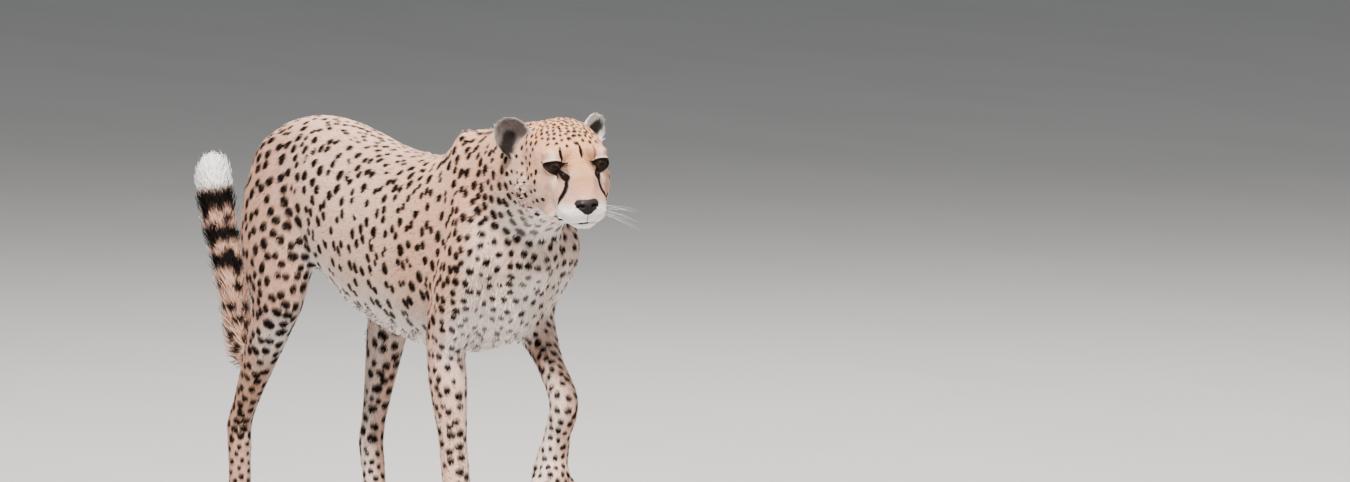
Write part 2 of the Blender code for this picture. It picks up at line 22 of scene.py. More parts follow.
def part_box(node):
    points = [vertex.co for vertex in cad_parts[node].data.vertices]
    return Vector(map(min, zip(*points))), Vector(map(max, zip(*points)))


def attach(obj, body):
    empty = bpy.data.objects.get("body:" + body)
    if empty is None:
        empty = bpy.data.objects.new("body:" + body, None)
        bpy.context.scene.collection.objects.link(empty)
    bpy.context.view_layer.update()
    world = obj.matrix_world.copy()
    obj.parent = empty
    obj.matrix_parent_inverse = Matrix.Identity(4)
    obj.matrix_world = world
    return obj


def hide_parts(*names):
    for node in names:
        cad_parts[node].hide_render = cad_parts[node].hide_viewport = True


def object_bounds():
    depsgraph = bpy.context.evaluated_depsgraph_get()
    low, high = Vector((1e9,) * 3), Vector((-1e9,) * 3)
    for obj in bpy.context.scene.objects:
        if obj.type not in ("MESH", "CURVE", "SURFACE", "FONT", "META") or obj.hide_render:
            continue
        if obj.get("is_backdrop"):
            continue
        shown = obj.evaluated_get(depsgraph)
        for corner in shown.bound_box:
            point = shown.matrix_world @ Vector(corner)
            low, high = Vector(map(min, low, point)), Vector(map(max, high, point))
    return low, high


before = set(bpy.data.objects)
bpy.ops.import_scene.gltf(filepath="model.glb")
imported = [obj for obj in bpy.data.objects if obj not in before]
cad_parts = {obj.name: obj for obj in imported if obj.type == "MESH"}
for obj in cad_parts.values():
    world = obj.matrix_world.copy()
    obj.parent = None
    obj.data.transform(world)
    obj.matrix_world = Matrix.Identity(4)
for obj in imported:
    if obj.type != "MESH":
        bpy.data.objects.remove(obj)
solid_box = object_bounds()

CM = 0.01
MM = 0.001
BODY = "root"
COLOUR = "coat_colour"
GLOSS = "coat_gloss"
BAKE_MAP = "OFBake"
PATCH = 0.003                     # width of one tuft's patch on the bake map
log = logging.getLogger("cheetah")
Rows = np.ndarray                 # one row of numbers, or one number, for each place, vertex or hair


class Side(Enum):
    """The animal's two sides, as the sign of the leftward axis."""

    RIGHT = -1
    LEFT = 1

    @property
    def word(self) -> str:
        """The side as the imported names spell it."""
        return self.name.lower()


class Slot(Enum):
    """The record's material slots."""

    GOLDEN = "golden_coat"
    PALE = "pale_coat"
    WHITE = "white_coat"
    EAR = "ear_coat"
    EYE = "eye"
    CLAW = "claw"


class Patch(Enum):
    """The pieces that the coat is divided into, so that each stays of a workable size."""

    FACE = "coat_face"
    HEAD = "coat_head"
    EARS = "coat_ears"
    NECK = "coat_neck"
    FLANK_RIGHT = "coat_flank_right"
    FLANK_LEFT = "coat_flank_left"
    SHOULDER_RIGHT = "coat_shoulder_right"
    SHOULDER_LEFT = "coat_shoulder_left"
    FORELEGS = "coat_forelegs"
    HINDLEG_RIGHT = "coat_hindleg_right"
    HINDLEG_LEFT = "coat_hindleg_left"
    TAIL = "coat_tail"


class Strip(Enum):
    """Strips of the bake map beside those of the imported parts."""

    ARM_RIGHT = 100
    ARM_LEFT = 101
    HOLLOW_RIGHT = 110
    HOLLOW_LEFT = 111
    EAR_BACK_RIGHT = 115
    EAR_BACK_LEFT = 116


def unit(rows: Rows) -> Rows:
    """Rows of vectors at length one."""
    return rows / np.maximum(np.linalg.norm(rows, axis=-1, keepdims=True), 1e-12)


def ease(value: Rows, low: float, high: float) -> Rows:
    """A smooth step from 0 at low to 1 at high; low may be the larger."""
    share = np.clip((value - low) / (high - low), 0.0, 1.0)
    return share * share * (3.0 - 2.0 * share)


def mix(first: Rows, second: Rows, share: Rows) -> Rows:
    """Rows of first, turned into second by each row's share."""
    return first + (np.asarray(second) - first) * np.asarray(share)[:, None]


def bump(distance: Rows, width: float) -> Rows:
    """A bell that is 1 at distance 0 and fades over the width."""
    return np.exp(-(distance / width) ** 2)


def waves(points: Rows, size: float, seed: int, count: int = 12) -> Rows:
    """Smooth, repeatable unevenness of about -1 to 1.

    Args:
        points: rows of places.
        size: the usual distance between two crests.
        seed: which pattern.
        count: how many waves are added up.

    Returns:
        One value for each place.
    """
    rng = np.random.default_rng(seed)
    turns = unit(rng.normal(size=(count, 3))) * rng.uniform(0.6, 1.5, (count, 1)) * (math.tau / size)
    total = np.zeros(len(points))
    for turn, phase in zip(turns, rng.uniform(0, math.tau, count)):
        total += np.sin(points @ turn + phase)
    return total / math.sqrt(count)


def to_segments(points: Rows, path: Rows) -> tuple[Rows, Rows]:
    """Distance from each point to a path, and the share of the path's stretch nearest it.

    Args:
        points: rows of places.
        path: the path's corners in order.

    Returns:
        The distances, and the shares from 0 at the path's start to 1 at its end.
    """
    best = np.full(len(points), np.inf)
    share = np.zeros(len(points))
    last = len(path) - 1
    for i in range(last):
        a, d = path[i], path[i + 1] - path[i]
        t = np.clip(((points - a) @ d) / max(d @ d, 1e-12), 0.0, 1.0)
        gap = np.linalg.norm(points - a - t[:, None] * d, axis=1)
        nearer = gap < best
        best[nearer] = gap[nearer]
        share[nearer] = (i + t[nearer]) / last
    return best, share


def curve_through(points: Rows, steps: int) -> Rows:
    """A smooth open curve through the points, with that many steps between neighbours.

    Args:
        points: its corners in order.
        steps: how many steps between two corners.

    Returns:
        The places along it.
    """
    padded = np.vstack((2 * points[0] - points[1], points, 2 * points[-1] - points[-2]))
    rows = []
    for i in range(len(points) - 1):
        p0, p1, p2, p3 = padded[i:i + 4]
        for t in np.arange(steps) / steps:
            rows.append(0.5 * (2 * p1 + (p2 - p0) * t + (2 * p0 - 5 * p1 + 4 * p2 - p3) * t * t
                               + (3 * p1 - p0 - 3 * p2 + p3) * t ** 3))
    return np.array(rows + [points[-1]])


def tree_of(points: Rows) -> KDTree:
    """A tree that finds the places nearest to any other.

    Args:
        points: rows of places.

    Returns:
        The tree, which names each place by its row.
    """
    tree = KDTree(len(points))
    for i, place in enumerate(points):
        tree.insert(place, i)
    tree.balance()
    return tree


def toes_of(foot: str) -> tuple[Rows, Rows]:
    """The middles of a foot's four claws, and the way to them from the foot's own middle.

    Args:
        foot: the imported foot's name.

    Returns:
        The four middles and that way.
    """
    tips = np.array([np.mean(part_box(f"claw_{foot}_{k}"), axis=0) for k in (1, 2, 3, 4)])
    low, high = (np.array(corner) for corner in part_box(foot))
    return tips, tips.mean(axis=0) - (low + high) / 2


def new_piece(name: str, mesh: Mesh, slot: Slot, material: Material) -> Object:
    """A shown piece that rides with the body.

    Args:
        name: the piece's name.
        mesh: its mesh, in the row frame.
        slot: the record's slot for the piece; not used.
        material: its finish.

    Returns:
        The new object.
    """
    thing = bpy.data.objects.new(name, mesh)
    bpy.context.scene.collection.objects.link(thing)
    mesh.materials.clear()
    mesh.materials.append(material)
    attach(thing, BODY)
    return thing


def mesh_of(name: str, points: Rows, faces: Rows) -> Mesh:
    """A smooth mesh from rows of places and rows of triangle or quad corners.

    Args:
        name: the mesh's name.
        points: rows of places.
        faces: rows of triangle or quad corners.

    Returns:
        The mesh.
    """
    mesh = bpy.data.meshes.new(name)
    sides = faces.shape[1]
    mesh.vertices.add(len(points))
    mesh.vertices.foreach_set("co", np.ascontiguousarray(points, dtype=np.float32).ravel())
    mesh.loops.add(faces.size)
    mesh.loops.foreach_set("vertex_index", np.ascontiguousarray(faces, dtype=np.int32).ravel())
    mesh.polygons.add(len(faces))
    mesh.polygons.foreach_set("loop_start", np.arange(0, faces.size, sides, dtype=np.int32))
    mesh.polygons.foreach_set("use_smooth", np.ones(len(faces), dtype=bool))
    mesh.update(calc_edges=True)
    return mesh


def paint(mesh: Mesh, colours: Rows, gloss: Rows | float = 0.0) -> None:
    """Stores a colour, and how bare and wet the surface is, at every vertex.

    Args:
        mesh: the mesh to paint.
        colours: one linear colour for each vertex.
        gloss: 0 for hair to 1 for wet, bare skin.
    """
    rgba = np.ones((len(mesh.vertices), 4), dtype=np.float32)
    rgba[:, :3] = np.clip(colours, 0.0, 1.0)
    mesh.attributes.new(COLOUR, "FLOAT_COLOR", "POINT").data.foreach_set("color", rgba.ravel())
    values = np.full(len(mesh.vertices), 0.0, dtype=np.float32) + np.asarray(gloss, dtype=np.float32)
    mesh.attributes.new(GLOSS, "FLOAT", "POINT").data.foreach_set("value", values)


@dataclass
class Head:
    """The head's own frame, found from the two eyes."""

    yaw: float = math.radians(-13)
    pitch: float = math.radians(10)
    roll: float = math.radians(2.5)
    eye_forward: float = 4.95
    eye_up: float = 1.25
    turn: Rows = field(init=False)
    origin: Rows = field(init=False)
    eyes: dict[Side, Rows] = field(init=False)
    eye_radius: float = field(init=False)

    def __post_init__(self) -> None:
        """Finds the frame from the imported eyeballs."""
        turn = Euler((self.roll, self.pitch, self.yaw), "XYZ").to_matrix()
        self.turn = np.array(turn)
        centres, radii = {}, []
        for side in Side:
            low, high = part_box(f"eye_{side.word}")
            centres[side] = np.array((low + high) / 2)
            radii.append(max(high - low) / 2)
        middle = (centres[Side.RIGHT] + centres[Side.LEFT]) / 2
        self.origin = middle - self.turn @ np.array((self.eye_forward, 0.0, self.eye_up)) * CM
        self.eyes = {side: self.local(centre[None])[0] for side, centre in centres.items()}
        self.eye_radius = max(radii) / CM

    def local(self, points: Rows) -> Rows:
        """Places in the head's frame, in centimetres."""
        return (points - self.origin) @ self.turn / CM

    def world(self, points: Rows) -> Rows:
        """Places in the row frame, from centimetres in the head's frame."""
        return self.origin + np.asarray(points) @ self.turn.T * CM

    def aim(self, vectors: Rows) -> Rows:
        """Directions in the row frame, from directions in the head's frame."""
        return np.asarray(vectors) @ self.turn.T


class Surface:
    """A triangle mesh held as arrays, with the smoothing and spreading that the skin needs."""

    def __init__(self, mesh: Mesh) -> None:
        """Reads the arrays of a mesh.

        Args:
            mesh: any mesh; its faces are read as triangles.
        """
        count = len(mesh.vertices)
        self.points = np.empty(count * 3, dtype=np.float32)
        mesh.vertices.foreach_get("co", self.points)
        self.points = self.points.reshape(-1, 3).astype(float)
        ends = np.empty(len(mesh.edges) * 2, dtype=np.int32)
        mesh.edges.foreach_get("vertices", ends)
        self.near = np.concatenate((ends[0::2], ends[1::2]))
        self.far = np.concatenate((ends[1::2], ends[0::2]))
        self.valence = np.maximum(np.bincount(self.near, minlength=count), 1)[:, None]
        mesh.calc_loop_triangles()
        self.triangles = np.empty(len(mesh.loop_triangles) * 3, dtype=np.int32)
        mesh.loop_triangles.foreach_get("vertices", self.triangles)
        self.triangles = self.triangles.reshape(-1, 3)

    def around(self, values: Rows) -> Rows:
        """The mean of each vertex's neighbours.

        Args:
            values: one row for each vertex.

        Returns:
            The means, one row for each vertex.
        """
        flat = values.reshape(len(values), -1)
        total = np.stack([np.bincount(self.near, flat[self.far, k], minlength=len(flat))
                          for k in range(flat.shape[1])], axis=1)
        return (total / self.valence).reshape(values.shape)

    def smooth(self, pushes: list[float], softness: Rows) -> None:
        """Moves each point toward its neighbours by each push in turn, times its softness.

        Args:
            pushes: how far to move in each pass.
            softness: each vertex's share of a push.
        """
        soft = softness[:, None]
        for push in pushes:
            self.points += (self.around(self.points) - self.points) * push * soft

    def spread(self, values: Rows, passes: int) -> Rows:
        """The values, blurred over the surface.

        Args:
            values: one row for each vertex.
            passes: how often they are blurred.

        Returns:
            The blurred values.
        """
        for _ in range(passes):
            values = 0.5 * values + 0.5 * self.around(values)
        return values

    def normals(self) -> Rows:
        """The outward direction at every vertex.

        Returns:
            One unit vector for each vertex.
        """
        a, b, c = (self.points[self.triangles[:, k]] for k in range(3))
        faces = np.cross(b - a, c - a)
        total = np.stack([sum(np.bincount(self.triangles[:, k], faces[:, axis], minlength=len(self.points))
                              for k in range(3)) for axis in range(3)], axis=1)
        return unit(total)

    def areas(self) -> Rows:
        """The area of every triangle."""
        a, b, c = (self.points[self.triangles[:, k]] for k in range(3))
        return np.linalg.norm(np.cross(b - a, c - a), axis=1) / 2

    def vertex_areas(self) -> Rows:
        """A third of the area of the triangles around each vertex."""
        areas = self.areas() / 3
        return sum(np.bincount(self.triangles[:, k], areas, minlength=len(self.points)) for k in range(3))


@dataclass(frozen=True)
class CoatRule:
    """How the hair of one part of the body grows."""

    depth: float       # how far the tips stand off the skin
    length: float
    width: float


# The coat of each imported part, by how its node's name starts.
COAT_RULES = {
    "head": CoatRule(2.2 * MM, 8.0 * MM, 1.1 * MM),
    "ear": CoatRule(0.9 * MM, 4.2 * MM, 0.85 * MM),
    "neck": CoatRule(3.4 * MM, 8.4 * MM, 1.35 * MM),
    "trunk": CoatRule(2.8 * MM, 7.6 * MM, 1.3 * MM),
    "thigh": CoatRule(2.6 * MM, 7.8 * MM, 1.25 * MM),
    "shank": CoatRule(2.2 * MM, 8.0 * MM, 1.2 * MM),
    "forearm": CoatRule(2.2 * MM, 8.0 * MM, 1.2 * MM),
    "hindfoot": CoatRule(1.6 * MM, 6.5 * MM, 1.1 * MM),
    "forefoot": CoatRule(1.6 * MM, 6.5 * MM, 1.1 * MM),
    "tail_tip": CoatRule(7.0 * MM, 22.0 * MM, 1.7 * MM),
    "tail": CoatRule(3.6 * MM, 13.0 * MM, 1.4 * MM),
}


def patch_of(node: str, leftward: float) -> Patch:
    """The coat piece that a spot on a node belongs to.

    Args:
        node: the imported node's name.
        leftward: how far left of the middle the spot lies.

    Returns:
        The piece.
    """
    if node == "trunk":
        return Patch.FLANK_RIGHT if leftward < 0 else Patch.FLANK_LEFT
    starts = {"head": Patch.HEAD, "ear": Patch.EARS, "neck": Patch.NECK, "tail": Patch.TAIL,
              "forearm": Patch.FORELEGS, "forefoot": Patch.FORELEGS}
    for start, patch in starts.items():
        if node.startswith(start):
            return patch
    return Patch.HINDLEG_RIGHT if node.endswith("right") else Patch.HINDLEG_LEFT


@dataclass(frozen=True)
class Palette:
    """Linear colours of the coat and of bare skin."""

    gold: tuple = (0.66, 0.39, 0.26)
    tan: tuple = (0.68, 0.37, 0.20)
    cream: tuple = (0.70, 0.46, 0.36)
    fawn: tuple = (0.60, 0.385, 0.29)           # the face, where it is neither tan nor white
    face_shade: tuple = (0.94, 0.87, 0.84)      # dims the face's fawn and tan
    shade_and_dark_coat: tuple = (0.85, 1.0, 1.05)             # how much each colour darkens where shade is painted and the coat is darker
    white: tuple = (0.88, 0.82, 0.78)
    ink: tuple = (0.0045, 0.0025, 0.002)
    snow: tuple = (0.93, 0.91, 0.90)
    bare: tuple = (0.013, 0.011, 0.011)
    # The nose colour, greyer than bare skin, is a painted sheen on the top of the nose leather.
    nose: tuple = (0.030, 0.024, 0.024)
    # The right ear's inside is painted in shade and the left ear's inside painted lit; both stand for one ear
    # colour.
    ear_shade: tuple = (0.155, 0.128, 0.122)
    ear_pale: tuple = (0.66, 0.60, 0.55)
    ear_edge: tuple = (0.50, 0.43, 0.38)
    # Near black for the ear's hollow: dark skin and painted shade.
    ear_deep: tuple = (0.012, 0.009, 0.008)
    ear_back: tuple = (0.60, 0.50, 0.40)


@dataclass
class Skin:
    """The one skin over all the flesh, with its face, its colours and the lie of its hair."""

    head: Head
    grain: float = 2.6 * MM                 # voxel of the remesh that joins the pieces
    body_passes: int = 60
    triangle_limit: int = 120_000
    sole_level: float = 3.0 * MM
    toe_radius: float = 11.5 * MM
    toe_height: float = 15.0 * MM
    toe_length: float = 32.0 * MM
    toe_setback: float = 22.0 * MM          # from the middle of a claw back to the middle of its toe
    palette: Palette = Palette()
    surface: Surface = field(init=False)
    thing: Object = field(init=False)
    names: list[str] = field(init=False)
    label: Rows = field(init=False)

    def flesh_nodes(self) -> list[str]:
        """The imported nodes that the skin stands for."""
        return sorted(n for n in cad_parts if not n.startswith(("eye", "claw")))

    def joined(self) -> Object:
        """All the flesh, eyeballs included so that the sockets fill, melted into one closed mesh.

        Returns:
            The skin's object.
        """
        bm = bmesh.new()
        for name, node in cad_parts.items():
            if not name.startswith("claw"):
                bm.from_mesh(node.data)
        mesh = bpy.data.meshes.new("skin")
        bm.to_mesh(mesh)
        bm.free()
        thing = bpy.data.objects.new("skin", mesh)
        bpy.context.scene.collection.objects.link(thing)
        melt = thing.modifiers.new("melt", "REMESH")
        melt.mode = "VOXEL"
        melt.voxel_size = self.grain
        return self.settled(thing)

    @staticmethod
    def settled(thing: Object) -> Object:
        """The object with its modifiers made part of its mesh.

        Args:
            thing: the object.

        Returns:
            The same object.
        """
        bpy.context.view_layer.update()
        graph = bpy.context.evaluated_depsgraph_get()
        mesh = bpy.data.meshes.new_from_object(thing.evaluated_get(graph))
        thing.modifiers.clear()
        thing.data = mesh
        return thing

    def find_labels(self) -> None:
        """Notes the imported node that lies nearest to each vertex."""
        self.names = self.flesh_nodes()
        rows, owners = [], []
        for k, name in enumerate(self.names):
            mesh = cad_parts[name].data
            places = [v.co for v in mesh.vertices] + [p.center for p in mesh.polygons]
            rows.extend(places)
            owners.extend([k] * len(places))
        tree, owners = tree_of(rows), np.array(owners)
        self.label = owners[[tree.find(p)[1] for p in self.surface.points]]

    def on(self, *starts: str) -> Rows:
        """1 where a vertex belongs to a node whose name starts with one of the words, else 0."""
        hits = np.array([name.startswith(starts) for name in self.names])
        return hits[self.label].astype(float)

    def ruled(self, key: str) -> Rows:
        """One field of the coat rules at every vertex, blurred so that parts run into each other.

        Args:
            key: the field's name.

        Returns:
            One value for each vertex.
        """
        values = []
        for name in self.names:
            rule = next(r for start, r in COAT_RULES.items() if name.startswith(start))
            values.append(getattr(rule, key))
        return self.surface.spread(np.array(values)[self.label], 30)

    def laid(self, path: Rows) -> Rows:
        """A path in the head's frame with each of its places moved to the nearest point of the skin."""
        local = self.head.local(self.surface.points)
        return np.array([local[np.linalg.norm(local - p, axis=1).argmin()] for p in path])

    def read(self) -> None:
        """Reads the mesh into arrays again."""
        self.surface = Surface(self.thing.data)

    def write(self) -> None:
        """Writes the points back to the mesh."""
        self.thing.data.vertices.foreach_set("co", self.surface.points.astype(np.float32).ravel())
        self.thing.data.update()

    def shape(self) -> None:
        """Joins, smooths, insets and thins the skin, then models the face."""
        self.thing = self.joined()
        self.read()
        self.find_labels()
        s = self.surface
        firm = s.spread(self.on("head", "ear", "forefoot", "hindfoot"), 6)
        ears = s.spread(self.on("ear"), 3)
        soft = np.clip(1.0 - 0.75 * firm + 0.3 * ears, 0.05, 1.0)
        # Evens the remesh, rounds the body without shrinking it, fills the sockets of the claws
        # and runs the neck into the trunk.
        s.smooth([0.5] * 12, np.clip(soft - 0.35 * ears, 0.05, 1.0))
        s.smooth([0.62, -0.60] * self.body_passes, soft)
        s.smooth([0.5] * 24, self.by_claws())
        s.smooth([0.5] * 60, 4.0 * s.spread(self.on("neck"), 40) * s.spread(self.on("trunk"), 40))
        lift = ease(s.points[:, 2], 0.0, self.sole_level * 4)
        s.points -= s.normals() * (self.ruled("depth") * lift)[:, None]
        self.write()
        self.thin()
        self.shape_toes()
        Face(self).model()
        self.write()
        log.info("skin: %d vertices, %d triangles", len(self.surface.points), len(self.surface.triangles))

    def dress(self) -> None:
        """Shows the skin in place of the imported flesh."""
        thing = self.thing
        thing.data.validate()       # drops the doubled faces that splitting edges can leave
        thing.data.polygons.foreach_set("use_smooth", np.ones(len(thing.data.polygons), dtype=bool))
        thing.data.materials.clear()
        thing.data.materials.append(HairFinish("skin").made())
        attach(thing, BODY)
        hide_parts(*self.flesh_nodes())

    def by_claws(self) -> Rows:
        """1 at the sockets that the claws leave, fading to 0 around them.

        Returns:
            One value for each vertex.
        """
        near = np.full(len(self.surface.points), np.inf)
        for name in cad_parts:
            if name.startswith("claw"):
                low, high = (np.array(corner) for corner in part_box(name))
                near = np.minimum(near, np.linalg.norm(self.surface.points - (low + high) / 2, axis=1))
        return 0.9 * ease(near, 17 * MM, 11 * MM)

    def shape_toes(self) -> None:
        """Rounds the four toes of each foot about their claws, with a groove between neighbours."""
        s = self.surface
        for foot in (n for n in self.names if n.startswith(("forefoot", "hindfoot"))):
            tips, ahead = toes_of(foot)
            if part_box(foot)[0].z < self.sole_level:
                ahead[2] = 0.0
            ahead = unit(ahead)
            across = unit(tips[3] - tips[0])
            rise = np.cross(ahead, across)
            axes = np.stack((ahead, across, rise), axis=1)
            squash = np.array((1.0, 1.0, self.toe_radius / self.toe_height))
            middles = tips - ahead * self.toe_setback
            for _ in range(3):
                near = np.full(len(s.points), np.inf)
                reach = np.full(len(s.points), -np.inf)
                for middle in middles:
                    there = (s.points - middle) @ axes * squash
                    along = np.clip(there[:, 0], -self.toe_length * 0.55, self.toe_length * 0.45)
                    gap = np.linalg.norm(there - np.stack((along, 0 * along, 0 * along), 1), axis=1)
                    closer = gap < near
                    near[closer], reach[closer] = gap[closer], there[closer, 0]
                hold = ease(reach, -self.toe_length * 0.8, -self.toe_length * 0.1)
                hold *= ease(near, 20 * MM, 15 * MM)
                hold *= ease(s.points[:, 2], 0.0, self.sole_level)
                push = np.clip(self.toe_radius - near, -4 * MM, 3 * MM) * hold * 0.8
                s.points += s.normals() * push[:, None]
            s.smooth([0.4] * 2, self.on(foot) * 0.6)

    def thin(self) -> None:
        """Thins the mesh, most on the plain parts of the body."""
        plain = self.thing.vertex_groups.new(name="plain")
        detail = self.surface.spread(self.on("head", "ear"), 4) > 0.2
        feet = self.surface.spread(self.on("forefoot", "hindfoot"), 4) > 0.2
        plain.add(np.flatnonzero(~detail & ~feet).tolist(), 1.0, "REPLACE")
        plain.add(np.flatnonzero(feet & ~detail).tolist(), 0.4, "REPLACE")
        thin = self.thing.modifiers.new("thin", "DECIMATE")
        thin.vertex_group = "plain"
        thin.ratio = self.triangle_limit / len(self.surface.triangles)
        self.settled(self.thing)
        self.thing.vertex_groups.clear()
        self.read()
        self.find_labels()

    def refine(self, chosen: Rows, longest: float = 0.0) -> None:
        """Halves every edge whose two ends are chosen, and splits the triangles with them.

        Args:
            chosen: True for each vertex of the part to refine.
            longest: an edge no longer than this stays whole.
        """
        self.write()
        bm = bmesh.new()
        bm.from_mesh(self.thing.data)
        bm.verts.ensure_lookup_table()
        edges = [e for e in bm.edges if chosen[e.verts[0].index] and chosen[e.verts[1].index]
                 and e.calc_length() > longest]
        bmesh.ops.subdivide_edges(bm, edges=edges, cuts=1, use_grid_fill=True)
        bmesh.ops.triangulate(bm, faces=[f for f in bm.faces if len(f.verts) > 3])
        bm.to_mesh(self.thing.data)
        bm.free()
        self.read()
        self.find_labels()


@dataclass
class Face:
    """The folds of the face: eyelids, nose leather, nostrils and mouth, in the head's frame."""

    skin: Skin
    gaze: tuple = (0.93, 0.42, 0.12)            # where the left eye's opening faces
    tilt: float = math.radians(27)              # the outer corner stands higher
    inner_reach: float = 1.80                   # along the eyeball, from the middle to the corner by the nose
    outer_reach: float = 1.50
    corner_level: float = -0.50                 # both corners lie below the middle of the eyeball
    upper_rise: float = 1.58
    lower_drop: float = 0.16
    rim: float = 0.05                           # lid edge, clear of the eyeball
    lid: float = 0.24                           # lid thickness
    opening: float = math.radians(80)           # lids, rims and hairless edges end this far off the gaze
    drawn: float = math.radians(72)             # up to here the skin is drawn onto the lids in full
    undrawn: float = math.radians(88)           # and from here not at all
    smooth_from: float = 1.0                    # forward of these places the skin is smoothed,
    fine_from: float = 2.8                      # halved once,
    eyes_from: float = 3.0                      # halved again by the eyes,
    muzzle_from: float = 8.4                    # evened after the mouth is pressed in,
    nose_from: float = 9.3                      # and shaped as the nose
    wall_edge: float = 1.6 * MM                 # longest edge left on the walls of the eyes' corners
    wall_splits: int = 3
    nose_outline: tuple = ((0.0, -2.62), (0.9, -2.56), (1.6, -2.78), (1.95, -3.25), (1.8, -3.75),
                           (1.2, -4.25), (0.5, -4.85), (0.0, -4.98))
    nostril: tuple = ((0.82, -3.62), (1.15, -3.60), (1.50, -3.75), (1.74, -4.02))
    mouth: tuple = ((11.25, 0.0, -6.35), (11.05, 0.9, -6.5), (10.2, 2.0, -6.72), (9.2, 3.0, -6.6),
                    (8.2, 3.6, -6.25), (7.4, 3.9, -5.9))

    def eye_axes(self, side: Side) -> tuple[Rows, Rows, Rows]:
        """Outward, cornerward and upward directions of an eye's opening.

        Args:
            side: which eye.

        Returns:
            Three unit vectors in the head's frame.
        """
        gaze = unit(np.array(self.gaze) * (1, side.value, 1))
        across = unit(np.cross((0.0, 0.0, 1.0), gaze)) * side.value
        up = np.cross(gaze, across) * side.value
        c, s = math.cos(self.tilt), math.sin(self.tilt)
        return gaze, c * across + s * up, c * up - s * across

    def lid_edges(self, share: Rows) -> tuple[Rows, Rows]:
        """Height of the upper and of the lower lid's edge, from the inner corner 0 to the outer 1.

        Args:
            share: places from corner to corner.

        Returns:
            The two heights at each.
        """
        share = np.clip(share, 0.0, 1.0)
        upper = self.upper_rise * np.sin(math.pi * share ** 0.54) ** 0.9
        lower = -self.lower_drop * np.sin(math.pi * share ** 0.8)
        return self.corner_level + upper, self.corner_level + lower

    def eye_outline(self, count: int = 90) -> Rows:
        """The almond between the lids, as a closed ring of places on the unrolled eyeball.

        Args:
            count: how many places each lid has.

        Returns:
            The ring's places.
        """
        share = 0.5 - 0.5 * np.cos(np.linspace(0, math.pi, count))
        along = -self.inner_reach + (self.inner_reach + self.outer_reach) * share
        upper, lower = self.lid_edges(share)
        return np.vstack((np.stack((along, upper), 1), np.stack((along, lower), 1)[-2:0:-1]))

    def unrolled(self, local: Rows, side: Side) -> tuple[Rows, Rows, Rows]:
        """Places around an eye, unrolled from its eyeball.

        Args:
            local: places in the head's frame.
            side: which eye.

        Returns:
            Rows of along and up, the distance from the eyeball's middle, and the angle off the gaze.
        """
        head = self.skin.head
        gaze, across, up = self.eye_axes(side)
        reach = local - head.eyes[side]
        distance = np.linalg.norm(reach, axis=1)
        ray = unit(reach)
        angle = np.arccos(np.clip(ray @ gaze, -1, 1))
        flat = unit(np.stack((ray @ across, ray @ up), axis=1)) * (head.eye_radius * angle)[:, None]
        return flat, distance, angle

    def rolled(self, flat: Rows, distance: Rows, side: Side) -> Rows:
        """Places in the head's frame from unrolled ones; the reverse of unrolled.

        Args:
            flat: rows of along and up.
            distance: how far each is from the eyeball's middle.
            side: which eye.

        Returns:
            The places.
        """
        gaze, across, up = self.eye_axes(side)
        length = np.linalg.norm(flat, axis=1, keepdims=True)
        angle = length / self.skin.head.eye_radius
        ray = np.cos(angle) * gaze + np.sin(angle) * (unit(flat) @ np.stack((across, up)))
        return self.skin.head.eyes[side] + ray * distance[:, None]

    def off_opening(self, flat: Rows) -> tuple[Rows, Rows]:
        """Distance outside the eye's opening, negative inside, and the nearest place on its edge.

        Args:
            flat: rows of along and up on the unrolled eyeball.

        Returns:
            The distances and those places.
        """
        ring = self.eye_outline()
        gaps = np.linalg.norm(flat[:, None, :] - ring[None], axis=2)
        nearest = gaps.argmin(axis=1)
        upper, lower = self.lid_edges((flat[:, 0] + self.inner_reach) / (self.inner_reach + self.outer_reach))
        inside = (flat[:, 0] > -self.inner_reach) & (flat[:, 0] < self.outer_reach)
        inside &= (flat[:, 1] < upper) & (flat[:, 1] > lower)
        return np.where(inside, -1.0, 1.0) * gaps.min(axis=1), ring[nearest]

    def open_eye(self, local: Rows, side: Side) -> None:
        """Draws the lids over the eyeball, and sinks the skin of the opening behind it.

        Args:
            local: the skin in the head's frame, which is changed.
            side: which eye.
        """
        radius = self.skin.head.eye_radius
        flat, distance, angle = self.unrolled(local, side)
        chosen = np.flatnonzero((distance < radius + 2.6) & (angle < self.undrawn))
        flat, distance, angle = flat[chosen], distance[chosen], angle[chosen]
        off, edge = self.off_opening(flat)
        snapped = np.abs(off) < 0.055
        flat[snapped] = edge[snapped]
        off[snapped] = 0.0
        rim = radius + self.rim
        lid = rim + (self.lid - self.rim) * ease(off, 0.0, 0.14)
        crease = 0.07 * bump(off - 0.48, 0.12) * ease(flat[:, 1], 0.1, 0.6)
        lid = lid - crease
        out = lid + (np.maximum(distance, lid - 0.25) - lid) * ease(off, 0.22, 1.15)
        sunk = radius - 0.30 * ease(-off, 0.0, 0.10) + self.rim * ease(-off, 0.06, 0.0)
        target = np.where(off < 0, sunk, out)
        hold = ease(angle, self.undrawn, self.drawn)
        target = distance + (target - distance) * hold
        local[chosen] = self.rolled(flat, target, side)

    def nose_depth(self, local: Rows) -> tuple[Rows, Rows]:
        """How far inside the nose leather's outline each place is, and how far inside a nostril.

        Args:
            local: places in the head's frame.

        Returns:
            The two depths, negative outside.
        """
        half = np.array(self.nose_outline)
        ring = np.vstack((half, (half * (-1, 1))[-2:0:-1]))
        ring = curve_through(np.vstack((ring, ring[:1])), 6)
        flat = local[:, 1:]
        gap, _ = to_segments(flat, ring)
        heights = half[:, 1][::-1]
        width = np.interp(flat[:, 1], heights, half[:, 0][::-1])
        inside = (np.abs(flat[:, 0]) < width) & (flat[:, 1] > heights[0]) & (flat[:, 1] < -2.5)
        leather = np.where(inside, gap, -gap)
        folded = np.stack((np.abs(flat[:, 0]), flat[:, 1]), axis=1)
        pit, share = to_segments(folded, curve_through(np.array(self.nostril), 6))
        return leather, (0.27 - 0.17 * share) - pit

